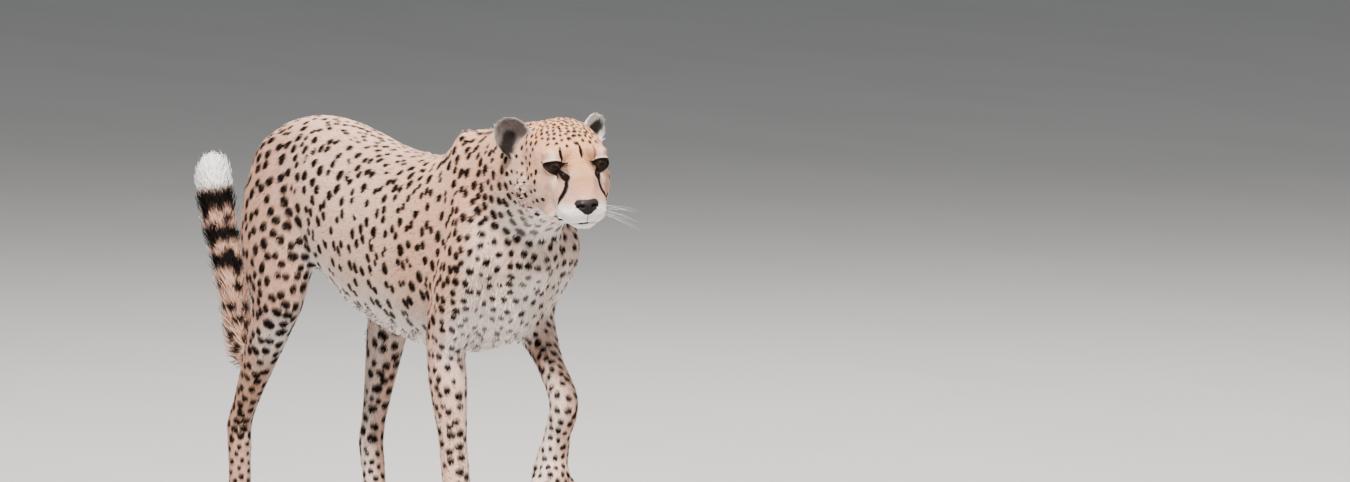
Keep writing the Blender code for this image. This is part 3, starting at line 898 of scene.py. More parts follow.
    def add_nose(self, local: Rows) -> None:
        """Raises the leather of the nose, opens the nostrils and parts the upper lip.

        Args:
            local: the skin in the head's frame, which is changed.
        """
        front = ease(local[:, 0], self.nose_from, self.nose_from + 0.9)
        leather, nostril = self.nose_depth(local)
        local[:, 0] += front * 0.08 * ease(leather, -0.04, 0.10)
        local[:, 0] -= front * 0.50 * ease(nostril, -0.08, 0.14)
        local[:, 0] += front * 0.04 * bump(nostril + 0.20, 0.13) * ease(leather, -0.2, 0.1)
        cleft = bump(local[:, 1], 0.10) * ease(local[:, 2], -3.4, -3.9) * ease(local[:, 2], -6.6, -6.2)
        local[:, 0] -= front * 0.13 * cleft

    def mouth_path(self) -> Rows:
        """The line between the lips, from corner to corner, laid on the skin.

        Returns:
            The places along it, in the head's frame.
        """
        half = np.array(self.mouth)
        path = np.vstack(((half * (1, -1, 1))[:0:-1], half))
        return self.skin.laid(curve_through(path, 5))

    def add_mouth(self, local: Rows) -> None:
        """Presses the line of the lips into the skin.

        Args:
            local: the skin in the head's frame, which is changed.
        """
        path = self.mouth_path()
        gap, share = to_segments(local, path)
        corner = ease(np.abs(share - 0.5), 0.5, 0.42)
        inward = unit(local - np.array((6.0, 0.0, -5.6)))
        upper = local[:, 2] > np.interp(share, np.linspace(0, 1, len(path)), path[:, 2])
        push = -0.20 * bump(gap, 0.13) * corner
        push += np.where(upper, 0.10, 0.02) * bump(gap - 0.32, 0.18) * corner
        local += inward * push[:, None]

    def model(self) -> None:
        """Refines the mesh of the face and models all its folds."""
        skin, head = self.skin, self.skin.head
        local = head.local(skin.surface.points)
        skin.refine((local[:, 0] > self.fine_from) & (skin.on("head") > 0))
        local = head.local(skin.surface.points)
        fine = (self.nose_depth(local)[0] > -0.25) & (local[:, 0] > self.nose_from)
        for side in Side:
            flat, distance, _ = self.unrolled(local, side)
            fine |= (self.off_opening(flat)[0] < 0.45) & (distance < head.eye_radius + 0.8)
        skin.refine(fine & (local[:, 0] > self.eyes_from))
        s = skin.surface
        face = (head.local(s.points)[:, 0] > self.smooth_from) & (skin.on("head") > 0)
        s.smooth([0.5] * 5, face * 0.9)
        local = head.local(s.points)
        self.add_mouth(local)
        self.add_nose(local)
        s.points = head.world(local)
        muzzle = (local[:, 0] > self.muzzle_from) & (skin.on("head") > 0)
        s.smooth([0.4], muzzle * 0.8)
        local = head.local(s.points)
        for side in Side:
            self.open_eye(local, side)
        s.points = head.world(local)
        for _ in range(self.wall_splits):
            local = head.local(skin.surface.points)
            by_eyes = np.min([np.linalg.norm(local - eye, axis=1) for eye in head.eyes.values()], axis=0)
            walls = (by_eyes < head.eye_radius + 2.4) & (local[:, 0] > self.eyes_from)
            skin.refine(walls, self.wall_edge)


@dataclass(frozen=True)
class SpotRule:
    """The spots of one part of the coat, in centimetres."""

    spacing: float
    radius: float
    aspect: float      # width across the lie of the hair, as a share of the length along it
    ink: float = 1.0   # 1 for full black, 0 for none


@dataclass(frozen=True)
class Line:
    """A dark line of the face: its places on the left side, its half widths and how black it is."""

    places: tuple
    widths: tuple
    strength: float = 1.0


@dataclass
class Markings:
    """The coat's colours: the ground, the spots, the lines of the face and the bands of the tail."""

    skin: Skin
    face: Face
    seed: int = 29
    nearest: int = 6
    gap: float = 0.50           # the longest half spot, as a share of the way to its neighbour
    evenings: int = 5           # how often the spots move to the middle of their own ground
    cheek_dots: tuple = (
        (3.0, 5.75, -0.1), (1.7, 6.0, -0.8), (0.5, 6.2, -1.5), (-0.3, 6.6, -2.5), (1.8, 6.1, -3.5),
        (0.3, 6.45, -4.5), (-0.9, 6.9, -3.7), (1.75, 5.7, -5.2), (4.8, 5.1, -4.0), (3.4, 5.6, -4.5),
        (3.2, 5.7, -2.9), (-1.4, 6.4, -6.4), (-2.3, 6.9, -4.9), (-1.8, 6.8, -1.6))
    forehead: Line = Line(((7.6, 0.25, 3.1), (6.8, 0.28, 3.9), (5.9, 0.29, 4.7)), (0.16, 0.27, 0.14))
    parting: Line = Line(((12.0, 0.0, -4.9), (11.7, 0.0, -5.6), (11.4, 0.0, -6.3)), (0.07, 0.07), 0.9)
    tear: Line = Line(((8.1, 2.58, 0.2), (8.9, 2.60, -0.55), (9.2, 2.78, -1.4), (9.25, 3.2, -2.3),
                       (9.0, 3.6, -3.1), (8.65, 3.85, -4.0)), (0.34, 0.42, 0.36, 0.42, 0.41, 0.34, 0.14))
    inner_corner: Line = Line(((6.50, 2.40, 1.65), (6.85, 2.50, 1.15), (7.35, 2.50, 0.80), (8.0, 2.48, 0.38)),
                              (0.22, 0.46, 0.50, 0.32))
    eye_corner: Line = Line(((4.6, 5.05, 1.55), (3.9, 5.4, 1.75)), (0.22, 0.04))
    brow: Line = Line(((6.95, 2.45, 2.2), (6.5, 2.75, 2.9), (5.9, 2.75, 3.7), (5.3, 2.65, 4.2)),
                      (0.10, 0.22, 0.25, 0.12))
    left_brow: float = 0.6      # how black the left one is
    mouth_corner: Line = Line(((7.9, 3.85, -5.7), (8.3, 3.4, -6.4)), (0.30, 0.26), 0.95)
    mouth_side: Line = Line(((11.3, 0.0, -6.35), (11.05, 0.9, -6.5), (10.2, 2.0, -6.72), (9.2, 3.0, -6.6)),
                            (0.13, 0.14, 0.10, 0.04), 0.95)
    ear_frames: dict = field(default_factory=lambda: {      # root, way to the tip, way the hollow faces
        Side.RIGHT: ((-4.4, -5.4, 1.1), (-0.12, -0.60, 0.79), (0.95, -0.25, 0.0)),
        Side.LEFT: ((-4.9, 4.9, 0.4), (-0.24, 0.46, 0.85), (0.80, 0.60, 0.0))})
    ear_hollow: dict = field(default_factory=lambda: {      # across and up from the ear's root
        Side.RIGHT: ((-2.7, 1.0), (-1.75, 2.0), (-0.6, 3.0)), Side.LEFT: ((0.0, 1.0), (1.0, 4.2))})
    rules: dict = field(default_factory=lambda: {
        "trunk": SpotRule(1.76, 0.96, 0.92), "neck": SpotRule(1.88, 0.88, 0.95),
        "thigh": SpotRule(1.95, 0.95, 0.92), "shank": SpotRule(1.74, 0.80, 0.92),
        "forearm": SpotRule(1.68, 0.68, 0.94), "hindfoot": SpotRule(1.5, 0.52, 0.9),
        "forefoot": SpotRule(1.5, 0.52, 0.9), "tail_tip": SpotRule(3.0, 0.9, 0.85, 0.0),
        "tail": SpotRule(2.3, 0.95, 0.85),
        "head": SpotRule(1.7, 0.30, 0.85), "ear": SpotRule(2.0, 0.2, 1.0, 0.0)})
    ground: Rows = field(init=False)
    bare: Rows = field(init=False)
    flow: Rows = field(init=False)

    def __post_init__(self) -> None:
        """Works out everything that is known at the skin's vertices."""
        skin = self.skin
        self.points = skin.surface.points
        self.normals = skin.surface.normals()
        self.local = skin.head.local(self.points)
        self.flow = self.lie_of_hair()
        self.ground, self.bare = self.grounds()
        self.strokes = self.draw_strokes()
        self.scatter()

    def ear_frame(self, side: Side) -> tuple[Rows, Rows, Rows]:
        """The root of an ear, the way to its tip and the way its hollow faces, in the head's frame."""
        root, tip, face = (np.array(row) for row in self.ear_frames[side])
        return root, unit(tip), unit(face)

    def lie_of_hair(self) -> Rows:
        """The way the hair points at every vertex: backward, down the limbs and out along the tail.

        Returns:
            One unit vector for each vertex.
        """
        skin, s = self.skin, self.skin.surface
        x, _, z = self.points.T
        guide = np.tile((-1.0, 0.0, -0.22), (len(x), 1))
        down = ease(x, 0.06, 0.20) * ease(z, 0.62, 0.46) * skin.on("trunk")
        breast = ease(self.normals[:, 0], 0.35, 0.8) * ease(x, 0.2, 0.3) * skin.on("trunk", "neck")
        upright = skin.on("forearm_right", "hindfoot", "forefoot", "tail_base")
        toes = skin.on("forefoot", "hindfoot") * ease(z, 0.075, 0.045)
        for way, where in (
                ((-0.22, 0.0, -1.0), down), ((-0.1, 0.0, -1.0), breast), ((-0.9, 0.0, -0.4), skin.on("neck")),
                ((-0.45, 0.0, -0.9), skin.on("thigh")), ((-0.5, 0.0, -0.86), skin.on("shank_right")),
                ((-0.15, 0.0, -1.0), skin.on("shank_left")), ((0.0, 0.0, -1.0), upright),
                ((0.5, 0.0, -0.85), skin.on("forearm_left")), ((1.0, 0.0, -0.35), toes),
                ((-0.25, 0.0, 1.0), skin.on("tail_middle", "tail_tip"))):
            guide = mix(guide, way, where)
        outward = unit(self.local - np.array((13.5, 0.0, -3.0)))
        outward[:, 2] -= 0.15 * ease(self.local[:, 2], 0.0, -5.0)
        guide = mix(guide, skin.head.aim(outward), skin.on("head"))
        for side in Side:
            tip = self.ear_frame(side)[1]
            guide = mix(guide, skin.head.aim(tip), skin.on(f"ear_{side.word}"))
        for _ in range(12):
            guide = s.spread(guide, 4)
            guide -= self.normals * (guide * self.normals).sum(1, keepdims=True)
            guide = unit(guide)
        return guide

    def grounds(self) -> tuple[Rows, Rows]:
        """The colour under the spots, and how bare and wet the skin is, at every vertex.

        Returns:
            The colours, and the bareness from 0 to 1.
        """
        skin, palette, n = self.skin, self.skin.palette, self.normals
        x, y, z = self.points.T
        uneven = waves(self.points, 0.16, 3)
        shoulder = ease(x, 0.00, 0.24) * ease(z, 0.42, 0.58) * ease(n[:, 0], 0.9, 0.3)
        gold = 0.22 + shoulder * 0.72 + ease(n[:, 2], 0.3, 0.95) * 0.22
        gold += 0.10 * uneven + 0.18 * skin.on("thigh")
        gold += 0.35 * ease(x, -0.24, -0.40) * ease(z, 0.74, 0.62)
        colour = mix(np.tile(palette.cream, (len(x), 1)), palette.gold, np.clip(gold, 0, 1))
        # Painted shade: the haunch, saddle, thighs, neck, shanks and the sides of the fore trunk are
        # darkened, partly also for the darker gold of the back.
        haunch = ease(x, -0.22, -0.38) * ease(z, 0.78, 0.70)
        saddle = bump(x - 0.02, 0.14) * ease(n[:, 2], 0.3, 0.8)
        shade_and_dark_coat = 0.30 * haunch + 0.20 * saddle
        shade_and_dark_coat += 0.30 * skin.on("thigh") + 0.20 * skin.on("neck") + 0.10 * skin.on("shank")
        shade_and_dark_coat += 0.16 * ease(x, 0.02, 0.12) * ease(n[:, 2], 0.6, 0.2) * skin.on("trunk")
        shade_and_dark_coat = skin.surface.spread(np.minimum(shade_and_dark_coat, 0.32), 10)
        colour *= 1.0 - shade_and_dark_coat[:, None] * np.array(palette.shade_and_dark_coat)
        limb = skin.on("forearm", "shank", "forefoot", "hindfoot", "thigh")
        side = np.where(np.abs(y) > 0.012, np.sign(y), 0.0)
        inner = ease(-n[:, 1] * side, 0.1, 0.75) * limb
        belly = ease(n[:, 2] + 0.08 * uneven, -0.10, -0.68) * skin.on("trunk", "neck", "thigh")
        breast = ease(n[:, 0], 0.2, 0.8) * ease(z, 0.74, 0.58) * skin.on("trunk") * 0.7
        tail = ease(n[:, 0] * -1.0, 0.0, 0.8) * skin.on("tail_base", "tail_middle") * 0.7
        white = np.maximum.reduce([inner * 0.4, belly * 0.75, breast * 0.4, tail])
        colour = mix(colour, palette.white, skin.surface.spread(np.clip(white, 0, 1), 6))
        colour = mix(colour, palette.snow, skin.surface.spread(skin.on("tail_tip"), 2) > 0.5)
        colour, bare = self.face_grounds(colour)
        pads = ease(n[:, 2], -0.55, -0.8) * skin.on("forefoot_right", "hindfoot") * ease(z, 0.030, 0.022)
        colour = mix(colour, palette.bare, pads)
        colour, bare = self.lifted_pads(colour, np.maximum(bare, pads))
        return colour, bare

    def lifted_pads(self, colour: Rows, bare: Rows) -> tuple[Rows, Rows]:
        """Paints the dark pads under the lifted foot.

        Args:
            colour: the ground at every vertex.
            bare: how bare every vertex is.

        Returns:
            Both, with the pads.
        """
        skin = self.skin
        tips, ahead = toes_of("forefoot_left")
        ahead = unit(ahead)
        under = unit(np.cross(ahead, tips[3] - tips[0]))
        under *= -np.sign(under[0])
        facing = self.normals @ under
        pads = np.zeros(len(self.points))
        discs = [(tip - ahead * 0.020 + under * 0.008, 0.0085) for tip in tips]
        discs.append((tips.mean(axis=0) - ahead * 0.046 + under * 0.012, 0.021))
        for centre, radius in discs:
            flat = self.points - centre
            flat = flat - under * (flat @ under)[:, None]
            pads = np.maximum(pads, ease(np.linalg.norm(flat, axis=1), radius * 1.1, radius * 0.85))
        pads *= ease(facing, 0.2, 0.5) * skin.on("forefoot_left")
        return mix(colour, skin.palette.bare, pads), np.maximum(bare, pads)

    def face_grounds(self, colour: Rows) -> tuple[Rows, Rows]:
        """Paints the head and ears, and says where the face is bare.

        Args:
            colour: the ground at every vertex.

        Returns:
            The colours with the head's, and how bare each vertex is.
        """
        skin, palette = self.skin, self.skin.palette
        f, l, u = self.local.T
        wide = np.abs(l)
        folded = np.stack((f, wide, u), axis=1)

        def near(place: tuple, width: float) -> Rows:
            """A bell about a place and its mirror image."""
            return bump(np.linalg.norm(folded - np.array(place), axis=1), width)

        head = skin.surface.spread(skin.on("head"), 3)
        crown, cheek, forehead = ease(u, 1.8, 4.4), near((2.2, 6.2, 0.3), 2.0), near((6.8, 1.2, 3.2), 1.9)
        bridge = ease(wide, 2.1, 0.8) * ease(f, 5.5, 7.5) * ease(f, 11.6, 10.2)
        warm = crown * 0.85 + cheek * 0.7 + forehead * 0.8 + bridge * 0.8
        tone = mix(np.tile(palette.fawn, (len(f), 1)), palette.tan, np.clip(warm, 0, 1))
        white = ease(f, 7.2, 9.4) * ease(u, -2.9, -4.7) * 0.95 + ease(u, -5.8, -7.4) * 0.5
        white += near((7.0, 3.9, -0.7), 0.75) * 0.35 + near((6.0, 4.0, 3.0), 0.75) * 0.45
        white += ease(u, -0.5, -3.5) * ease(f, 7.0, 3.0) * 0.15
        tone = tone * palette.face_shade * (1 - 0.16 * near((9.0, 0.0, 0.0), 2.6))[:, None]
        tone = mix(tone, palette.white, np.clip(white, 0, 1))
        colour = mix(colour, tone, head)
        bare = np.zeros(len(f))
        leather, nostril = self.face.nose_depth(self.local)
        nose = ease(leather, -0.06, 0.05) * ease(f, 9.3, 10.0) * (skin.on("head") > 0)
        # The top of the nose leather is painted greyer, a painted sheen.
        painted_sheen = ease(u, -3.6, -2.7) * ease(nostril, -0.05, -0.35)
        colour = mix(colour, mix(np.tile(palette.bare, (len(f), 1)), palette.nose, painted_sheen), nose)
        bare = np.maximum(bare, nose)
        for side in Side:
            flat, distance, angle = self.face.unrolled(self.local, side)
            off, _ = self.face.off_opening(flat)
            close = (distance < skin.head.eye_radius + 1.2) & (angle < self.face.opening)
            lids = ease(off, 0.12, 0.05) * close
            colour = mix(colour, palette.bare, lids)
            bare = np.maximum(bare, lids)
            colour = self.paint_ear(colour, side)
        gap, _ = to_segments(self.local, self.face.mouth_path())
        lips = ease(gap, 0.22, 0.13) * (f > 6.5)
        return mix(colour, palette.bare, lips), np.maximum(bare, lips)

    def paint_ear(self, colour: Rows, side: Side) -> Rows:
        """Fawn outside with a black patch behind, and a dark hollow with a pale edge inside.

        Args:
            colour: the ground at every vertex.
            side: which ear.

        Returns:
            The colours with the ear's.
        """
        skin, palette = self.skin, self.skin.palette
        root, tip, face = self.ear_frame(side)
        face = unit(face - tip * (face @ tip))
        there = self.local - root
        height, deep = there @ tip, there @ face
        across = there @ np.cross(tip, face)
        front = ease(self.normals @ skin.head.aim(face), -0.15, 0.15)
        plane = np.stack((across, height), axis=1)
        gap, _ = to_segments(plane, np.array(self.ear_hollow[side]))
        # The hollow is painted near black: partly dark skin, partly painted shade in the ear's opening.
        hollow = ease(gap, 1.50, 0.75) * front
        edge = ease(np.hypot(across, (height - 2.6) * 0.85), 2.4, 3.1)
        # Painted light: the right ear gets a painted shade and the left ear a painted lit tone.
        ground = palette.ear_shade if side is Side.RIGHT else palette.ear_pale
        ground = np.tile(ground, (len(height), 1)) * (1.0 + 0.12 * waves(self.points, 0.03, 8))[:, None]
        inside = mix(mix(ground, palette.ear_edge, edge * 0.75), palette.ear_deep, hollow * 0.95)
        patch = ease(np.hypot(across * 0.9, height - 2.2), 2.7, 2.1)
        behind = mix(np.tile(palette.ear_back, (len(height), 1)), palette.ink, patch * 0.95)
        ear = skin.surface.spread(skin.on(f"ear_{side.word}"), 2) * (deep > -9)
        return mix(colour, mix(behind, inside, front), ear)

    def draw_strokes(self) -> list[tuple[Rows, Rows, float]]:
        """The dark lines of the face, each a path on the skin, its widths and its strength.

        Returns:
            The strokes.
        """
        midline = (self.forehead, self.parting)
        plans = [(np.array(line.places), line.widths, line.strength) for line in midline]
        for side in Side:
            mirror = (1, side.value, 1)
            corner = np.array([(-self.face.inner_reach, self.face.corner_level)])
            inner = self.face.rolled(corner, np.array([self.skin.head.eye_radius + 0.1]), side)
            tear = np.vstack((inner, np.array(self.tear.places) * mirror))
            plans.append((tear, self.tear.widths, self.tear.strength))
            for line in (self.inner_corner, self.mouth_corner, self.eye_corner, self.mouth_side):
                plans.append((np.array(line.places) * mirror, line.widths, line.strength))
            black = self.brow.strength if side is Side.RIGHT else self.left_brow
            plans.append((np.array(self.brow.places) * mirror, self.brow.widths, black))
        strokes = []
        for places, widths, strength in plans:
            path = self.skin.laid(curve_through(places, 6))
            for _ in range(3):
                path[1:-1] = (path[:-2] + path[1:-1] + path[2:]) / 3
            width = np.interp(np.linspace(0, 1, len(path)), np.linspace(0, 1, len(widths)), widths)
            strokes.append((path, width, strength))
        return strokes

    def spot_fields(self) -> tuple[Rows, ...]:
        """Spacing, radius, aspect and ink of the spots at every vertex, in metres.

        Returns:
            The four fields.
        """
        skin, n = self.skin, self.normals
        x, _, z = self.points.T
        rows = {key: np.zeros(len(x)) for key in ("spacing", "radius", "aspect", "ink")}
        for name in skin.names:
            rule = next(r for start, r in self.rules.items() if name.startswith(start))
            hit = skin.on(name) > 0
            for key, row in rows.items():
                row[hit] = getattr(rule, key)
        top = ease(n[:, 2], 0.55, 0.92) * skin.on("trunk")
        under = ease(n[:, 2], -0.35, -0.8) * skin.on("trunk", "neck")
        arm = ease(x, 0.12, 0.2) * ease(z, 0.56, 0.46) * skin.on("trunk")
        blend = skin.surface.spread
        rows["spacing"] = blend(rows["spacing"] - top * 0.15 + under * 0.4 - arm * 0.25, 6)
        breast = ease(n[:, 0], 0.2, 0.8) * skin.on("trunk", "neck")
        rows["radius"] = blend(rows["radius"] + top * 0.06 - under * 0.1 - arm * 0.10 - breast * 0.34, 6)
        rows["aspect"] = blend(rows["aspect"] - top * 0.28, 6)
        rows["ink"] = rows["ink"] * (1 - 0.2 * under)
        self.head_spots(rows)
        return rows["spacing"] * CM, rows["radius"] * CM, rows["aspect"], rows["ink"]

    def head_spots(self, rows: dict[str, Rows]) -> None:
        """Dense dots on the crown, a few rows on the cheek, and none on brow, bridge and muzzle.

        Args:
            rows: the fields by name, which are changed.
        """
        f, _, u = self.local.T
        head = self.skin.on("head") > 0
        crown = ease(u, 3.6, 4.8) * ease(f, 6.4, 5.0)
        nape = ease(f, -4.5, -8.0)
        rows["spacing"][head] = (1.55 - 0.64 * crown + 0.4 * nape)[head]
        rows["radius"][head] = (0.47 - 0.08 * crown + 0.28 * nape)[head]
        clear = np.maximum.reduce([ease(f, 4.6, 5.6) * ease(u, 4.2, 3.6), ease(f, 6.0, 6.8),
                                   ease(u, -6.0, -6.8) * ease(f, 0.0, 3.0),
                                   bump(np.hypot(f - 2.5, u - 2.0), 1.5) * 0.9])
        rows["ink"][head] = clear[head] < 0.15

    def scatter(self) -> None:
        """Places the spots so that neighbours keep their distance, and notes each vertex's nearest."""
        rng = np.random.default_rng(self.seed)
        spacing, radius, aspect, ink = self.spot_fields()
        tree = tree_of(self.points)
        dots = np.array([(f, l * side.value, u) for f, l, u in self.cheek_dots for side in Side])
        dots = [np.linalg.norm(self.local - dot, axis=1).argmin() for dot in dots]
        free = ink > 0.5
        chosen = []
        for i in (*dots, *rng.permutation(len(self.points))):
            if free[i]:
                chosen.append(i)
                for _, j, _ in tree.find_range(self.points[i], spacing[i] * 0.80):
                    free[j] = False
        chosen = self.evened(np.array(chosen), tree, len(dots))
        count = len(chosen)
        self.spot_at = self.points[chosen]
        spots = tree_of(self.spot_at)
        apart = np.array([spots.find_n(place, 2)[1][2] for place in self.spot_at])
        self.spot_along = self.flow[chosen]
        self.spot_across = unit(np.cross(self.normals[chosen], self.spot_along))
        self.spot_out = self.normals[chosen]
        self.spot_long = np.minimum(radius[chosen] * rng.uniform(0.82, 1.16, count), apart * self.gap)
        self.spot_wide = self.spot_long * np.clip(aspect[chosen] * rng.uniform(0.85, 1.2, count), 0.3, 1.1)
        self.spot_ink = ink[chosen]
        self.spot_ink[:len(dots)] = 1.0
        self.spot_lobes = rng.uniform(0, math.tau, (count, 3))
        self.spots_by_vertex = np.array([[hit[1] for hit in spots.find_n(p, self.nearest)]
                                         for p in self.points])
        log.info("markings: %d spots", count)

    def evened(self, chosen: Rows, tree: KDTree, fixed: int) -> Rows:
        """Moves each spot to the middle of the ground it has to itself.

        Args:
            chosen: the vertex under each spot.
            tree: all the vertices.
            fixed: how many spots at the start stay where they are.

        Returns:
            The new vertices.
        """
        weight = self.skin.surface.vertex_areas()
        for _ in range(self.evenings):
            spots = tree_of(self.points[chosen])
            owner = np.array([spots.find(p)[1] for p in self.points])
            share = np.maximum(np.bincount(owner, weight, len(chosen)), 1e-12)
            middle = np.stack([np.bincount(owner, axis * weight, len(chosen)) for axis in self.points.T], 1)
            middle /= share[:, None]
            moved = np.array([tree.find(p)[1] for p in middle])
            chosen = np.concatenate((chosen[:fixed], moved[fixed:]))
        return chosen

    def ink_at(self, points: Rows, vertex: Rows) -> Rows:
        """How black the coat is at places on the skin.

        Args:
            points: rows of places.
            vertex: the skin vertex nearest each place.

        Returns:
            0 for the ground colour to 1 for black.
        """
        ink = np.zeros(len(points))
        for k in range(self.nearest):
            spot = self.spots_by_vertex[vertex, k]
            reach = points - self.spot_at[spot]
            along = (reach * self.spot_along[spot]).sum(1) / self.spot_long[spot]
            across = (reach * self.spot_across[spot]).sum(1) / self.spot_wide[spot]
            out = (reach * self.spot_out[spot]).sum(1) / self.spot_long[spot]
            turn = np.arctan2(across, along)
            lobes = self.spot_lobes[spot]
            edge = 1.0 + 0.06 * np.sin(2 * turn + lobes[:, 0]) + 0.05 * np.sin(3 * turn + lobes[:, 1])
            edge += 0.03 * np.sin(5 * turn + lobes[:, 2])
            size = np.sqrt(along ** 2 + across ** 2 + 0.15 * out ** 2) / edge
            ink = np.maximum(ink, ease(size, 1.07, 0.92) * self.spot_ink[spot])
        ink = np.maximum(ink, self.tail_bands(points, vertex))
        local = self.skin.head.local(points)
        face = np.flatnonzero((local[:, 0] > 2.5) & (np.abs(local[:, 1]) < 8) & (np.abs(local[:, 2]) < 9))
        if len(face):
            ink[face] = np.maximum(ink[face], self.face_ink(local[face]))
        return ink

    def face_ink(self, local: Rows) -> Rows:
        """The dark lines of the face: strokes, and the rims of the eyes.

        Args:
            local: places in the head's frame.

        Returns:
            0 for none to 1 for black.
        """
        ink, radius = np.zeros(len(local)), self.skin.head.eye_radius
        for path, width, strength in self.strokes:
            gap, share = to_segments(local, path)
            half = np.interp(share, np.linspace(0, 1, len(width)), width)
            ink = np.maximum(ink, ease(gap, half + 0.07, half - 0.05) * strength)
        for side in Side:
            flat, distance, angle = self.face.unrolled(local, side)
            off, _ = self.face.off_opening(flat)
            thick = 0.27 + 0.30 * ease(flat[:, 0], -0.9, -1.7)
            rim = ease(off, thick + 0.07, thick - 0.04) * ease(distance, radius + 1.15, radius + 0.95)
            ink = np.maximum(ink, rim * (angle < self.face.opening))
        return ink

    def tail_bands(self, points: Rows, vertex: Rows) -> Rows:
        """Dark bands below the white tip of the tail, the widest just under it.

        Args:
            points: rows of places.
            vertex: the skin vertex nearest each.

        Returns:
            0 for none to 1 for black.
        """
        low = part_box("tail_tip")[0].z
        below = low - points[:, 2] + 0.004 * waves(points, 0.05, 14)
        end = self.skin.on("tail_middle", "tail_tip")[vertex]
        bands = np.zeros(len(points))
        for centre, half in ((-0.012, 0.016), (0.046, 0.013), (0.090, 0.012)):
            bands = np.maximum(bands, ease(np.abs(below - centre), half + 0.003, half - 0.003))
        return bands * end

    def colour_at(self, points: Rows, vertex: Rows, ground: Rows) -> Rows:
        """The colour at places on the skin, from the ground colour there and the ink over it."""
        clear = 1.0 - self.skin.on("ear")[vertex]
        return mix(ground, self.skin.palette.ink, self.ink_at(points, vertex) * clear)


@dataclass
class Unwrap:
    """The skin laid flat for the bake maps: each part wound round its own bent axis, in strips."""

    skin: Skin
    marks: Markings
    margin: float = 0.006
    stations: int = 10
    arm_front: float = 0.08           # the upper forelegs hang from the trunk ahead of this
    arm_top: float = 0.46             # and below this
    face_start: float = 2.2           # the face is what lies ahead of this, in the head's frame
    shoulder_start: float = 0.10
    places: Rows = field(init=False)
    patches: Rows = field(init=False)
    parts: Rows = field(init=False)

    def __post_init__(self) -> None:
        """Lays out every piece of the coat."""
        skin, points = self.skin, self.skin.surface.points
        order = list(Patch)
        right = np.array([order.index(patch_of(name, -1.0)) for name in skin.names])[skin.label]
        left = np.array([order.index(patch_of(name, 1.0)) for name in skin.names])[skin.label]
        self.patches = np.where(points[:, 1] < 0, right, left)
        face = (skin.on("head") > 0) & (self.marks.local[:, 0] > self.face_start)
        self.patches[face] = order.index(Patch.FACE)
        for side in Side:
            flank, shoulder = (order.index(Patch[f"{part}_{side.name}"]) for part in ("FLANK", "SHOULDER"))
            fore = (self.patches == flank) & (points[:, 0] > self.shoulder_start)
            self.patches[fore] = shoulder
        self.parts = skin.label.copy()
        arms = (skin.on("trunk") > 0) & (points[:, 0] > self.arm_front) & (points[:, 2] < self.arm_top)
        self.parts[arms] = np.where(points[arms, 1] < 0, Strip.ARM_RIGHT.value, Strip.ARM_LEFT.value)
        flat = np.zeros((len(points), 2))
        for part in np.unique(self.parts):
            chosen = np.flatnonzero(self.parts == part)
            flat[chosen] = self.wound(chosen)
        for side in Side:
            self.part_ear(flat, side)
        self.places = np.zeros((len(points), 2))
        share = skin.surface.vertex_areas()
        for patch in range(len(order)):
            self.stack(flat, patch, share)

    def wound(self, chosen: Rows) -> Rows:
        """Angle around, and length along, the bent axis of a part.

        Args:
            chosen: the part's vertices.

        Returns:
            One row for each vertex.
        """
        points, normals = self.skin.surface.points[chosen], self.marks.normals[chosen]
        middle = points.mean(axis=0)
        axis = np.linalg.eigh(np.cov((points - middle).T))[1][:, 2]
        along = (points - middle) @ axis
        stations = np.linspace(along.min(), along.max(), self.stations)
        weight = bump(along[:, None] - stations, stations[1] - stations[0])
        line = (weight.T @ points) / weight.sum(axis=0)[:, None]
        out = points - np.stack([np.interp(along, stations, line[:, k]) for k in range(3)], axis=1)
        across = unit(np.cross(axis, np.eye(3)[np.abs(axis).argmin()]))
        turn = np.arctan2(out @ np.cross(axis, across), out @ across)
        radius = np.median(np.linalg.norm(out, axis=1))
        return np.stack((turn, along + radius * np.arcsin(np.clip(normals @ axis, -1, 1))), axis=1)

    def part_ear(self, flat: Rows, side: Side) -> None:
        """Lays an ear flat, its hollow and its back apart.

        Args:
            flat: every vertex laid flat, which is changed.
            side: which ear.
        """
        root, tip, face = self.marks.ear_frame(side)
        chosen = np.flatnonzero(self.skin.on(f"ear_{side.word}"))
        there = self.marks.local[chosen] - root
        front = self.marks.normals[chosen] @ self.skin.head.aim(face) > 0
        flat[chosen] = np.stack((there @ np.cross(tip, face), there @ tip), axis=1)
        hollow, back = (Strip[f"{part}_{side.name}"].value for part in ("HOLLOW", "EAR_BACK"))
        self.parts[chosen] = np.where(front, hollow, back)

    def stack(self, flat: Rows, patch: int, share: Rows) -> None:
        """Fits the parts of one coat piece into the unit square, one strip above another.

        Args:
            flat: every vertex laid flat.
            patch: the piece's number.
            share: each vertex's area.
        """
        mine = self.patches == patch
        whole, level = share[mine].sum(), 0.0
        for part in np.unique(self.parts[mine]):
            chosen = np.flatnonzero(mine & (self.parts == part))
            height = share[chosen].sum() / whole
            low, high = flat[chosen].min(axis=0), flat[chosen].max(axis=0)
            place = (flat[chosen] - low) / np.maximum(high - low, 1e-9)
            gap = min(self.margin, height / 4)
            self.places[chosen, 0] = self.margin + place[:, 0] * (1 - 2 * self.margin)
            self.places[chosen, 1] = level + gap + place[:, 1] * (height - 2 * gap)
            level += height


@dataclass
class Roots:
    """Rows of hair roots: where each grows, and what the skin is like there."""

    place: Rows
    vertex: Rows
    normal: Rows
    flow: Rows
    ground: Rows
    flat: Rows
    size: Rows        # length, width and lift

    def part(self, chosen: Rows) -> "Roots":
        """Only the chosen rows."""
        return Roots(*(getattr(self, key)[chosen] for key in self.__dataclass_fields__))


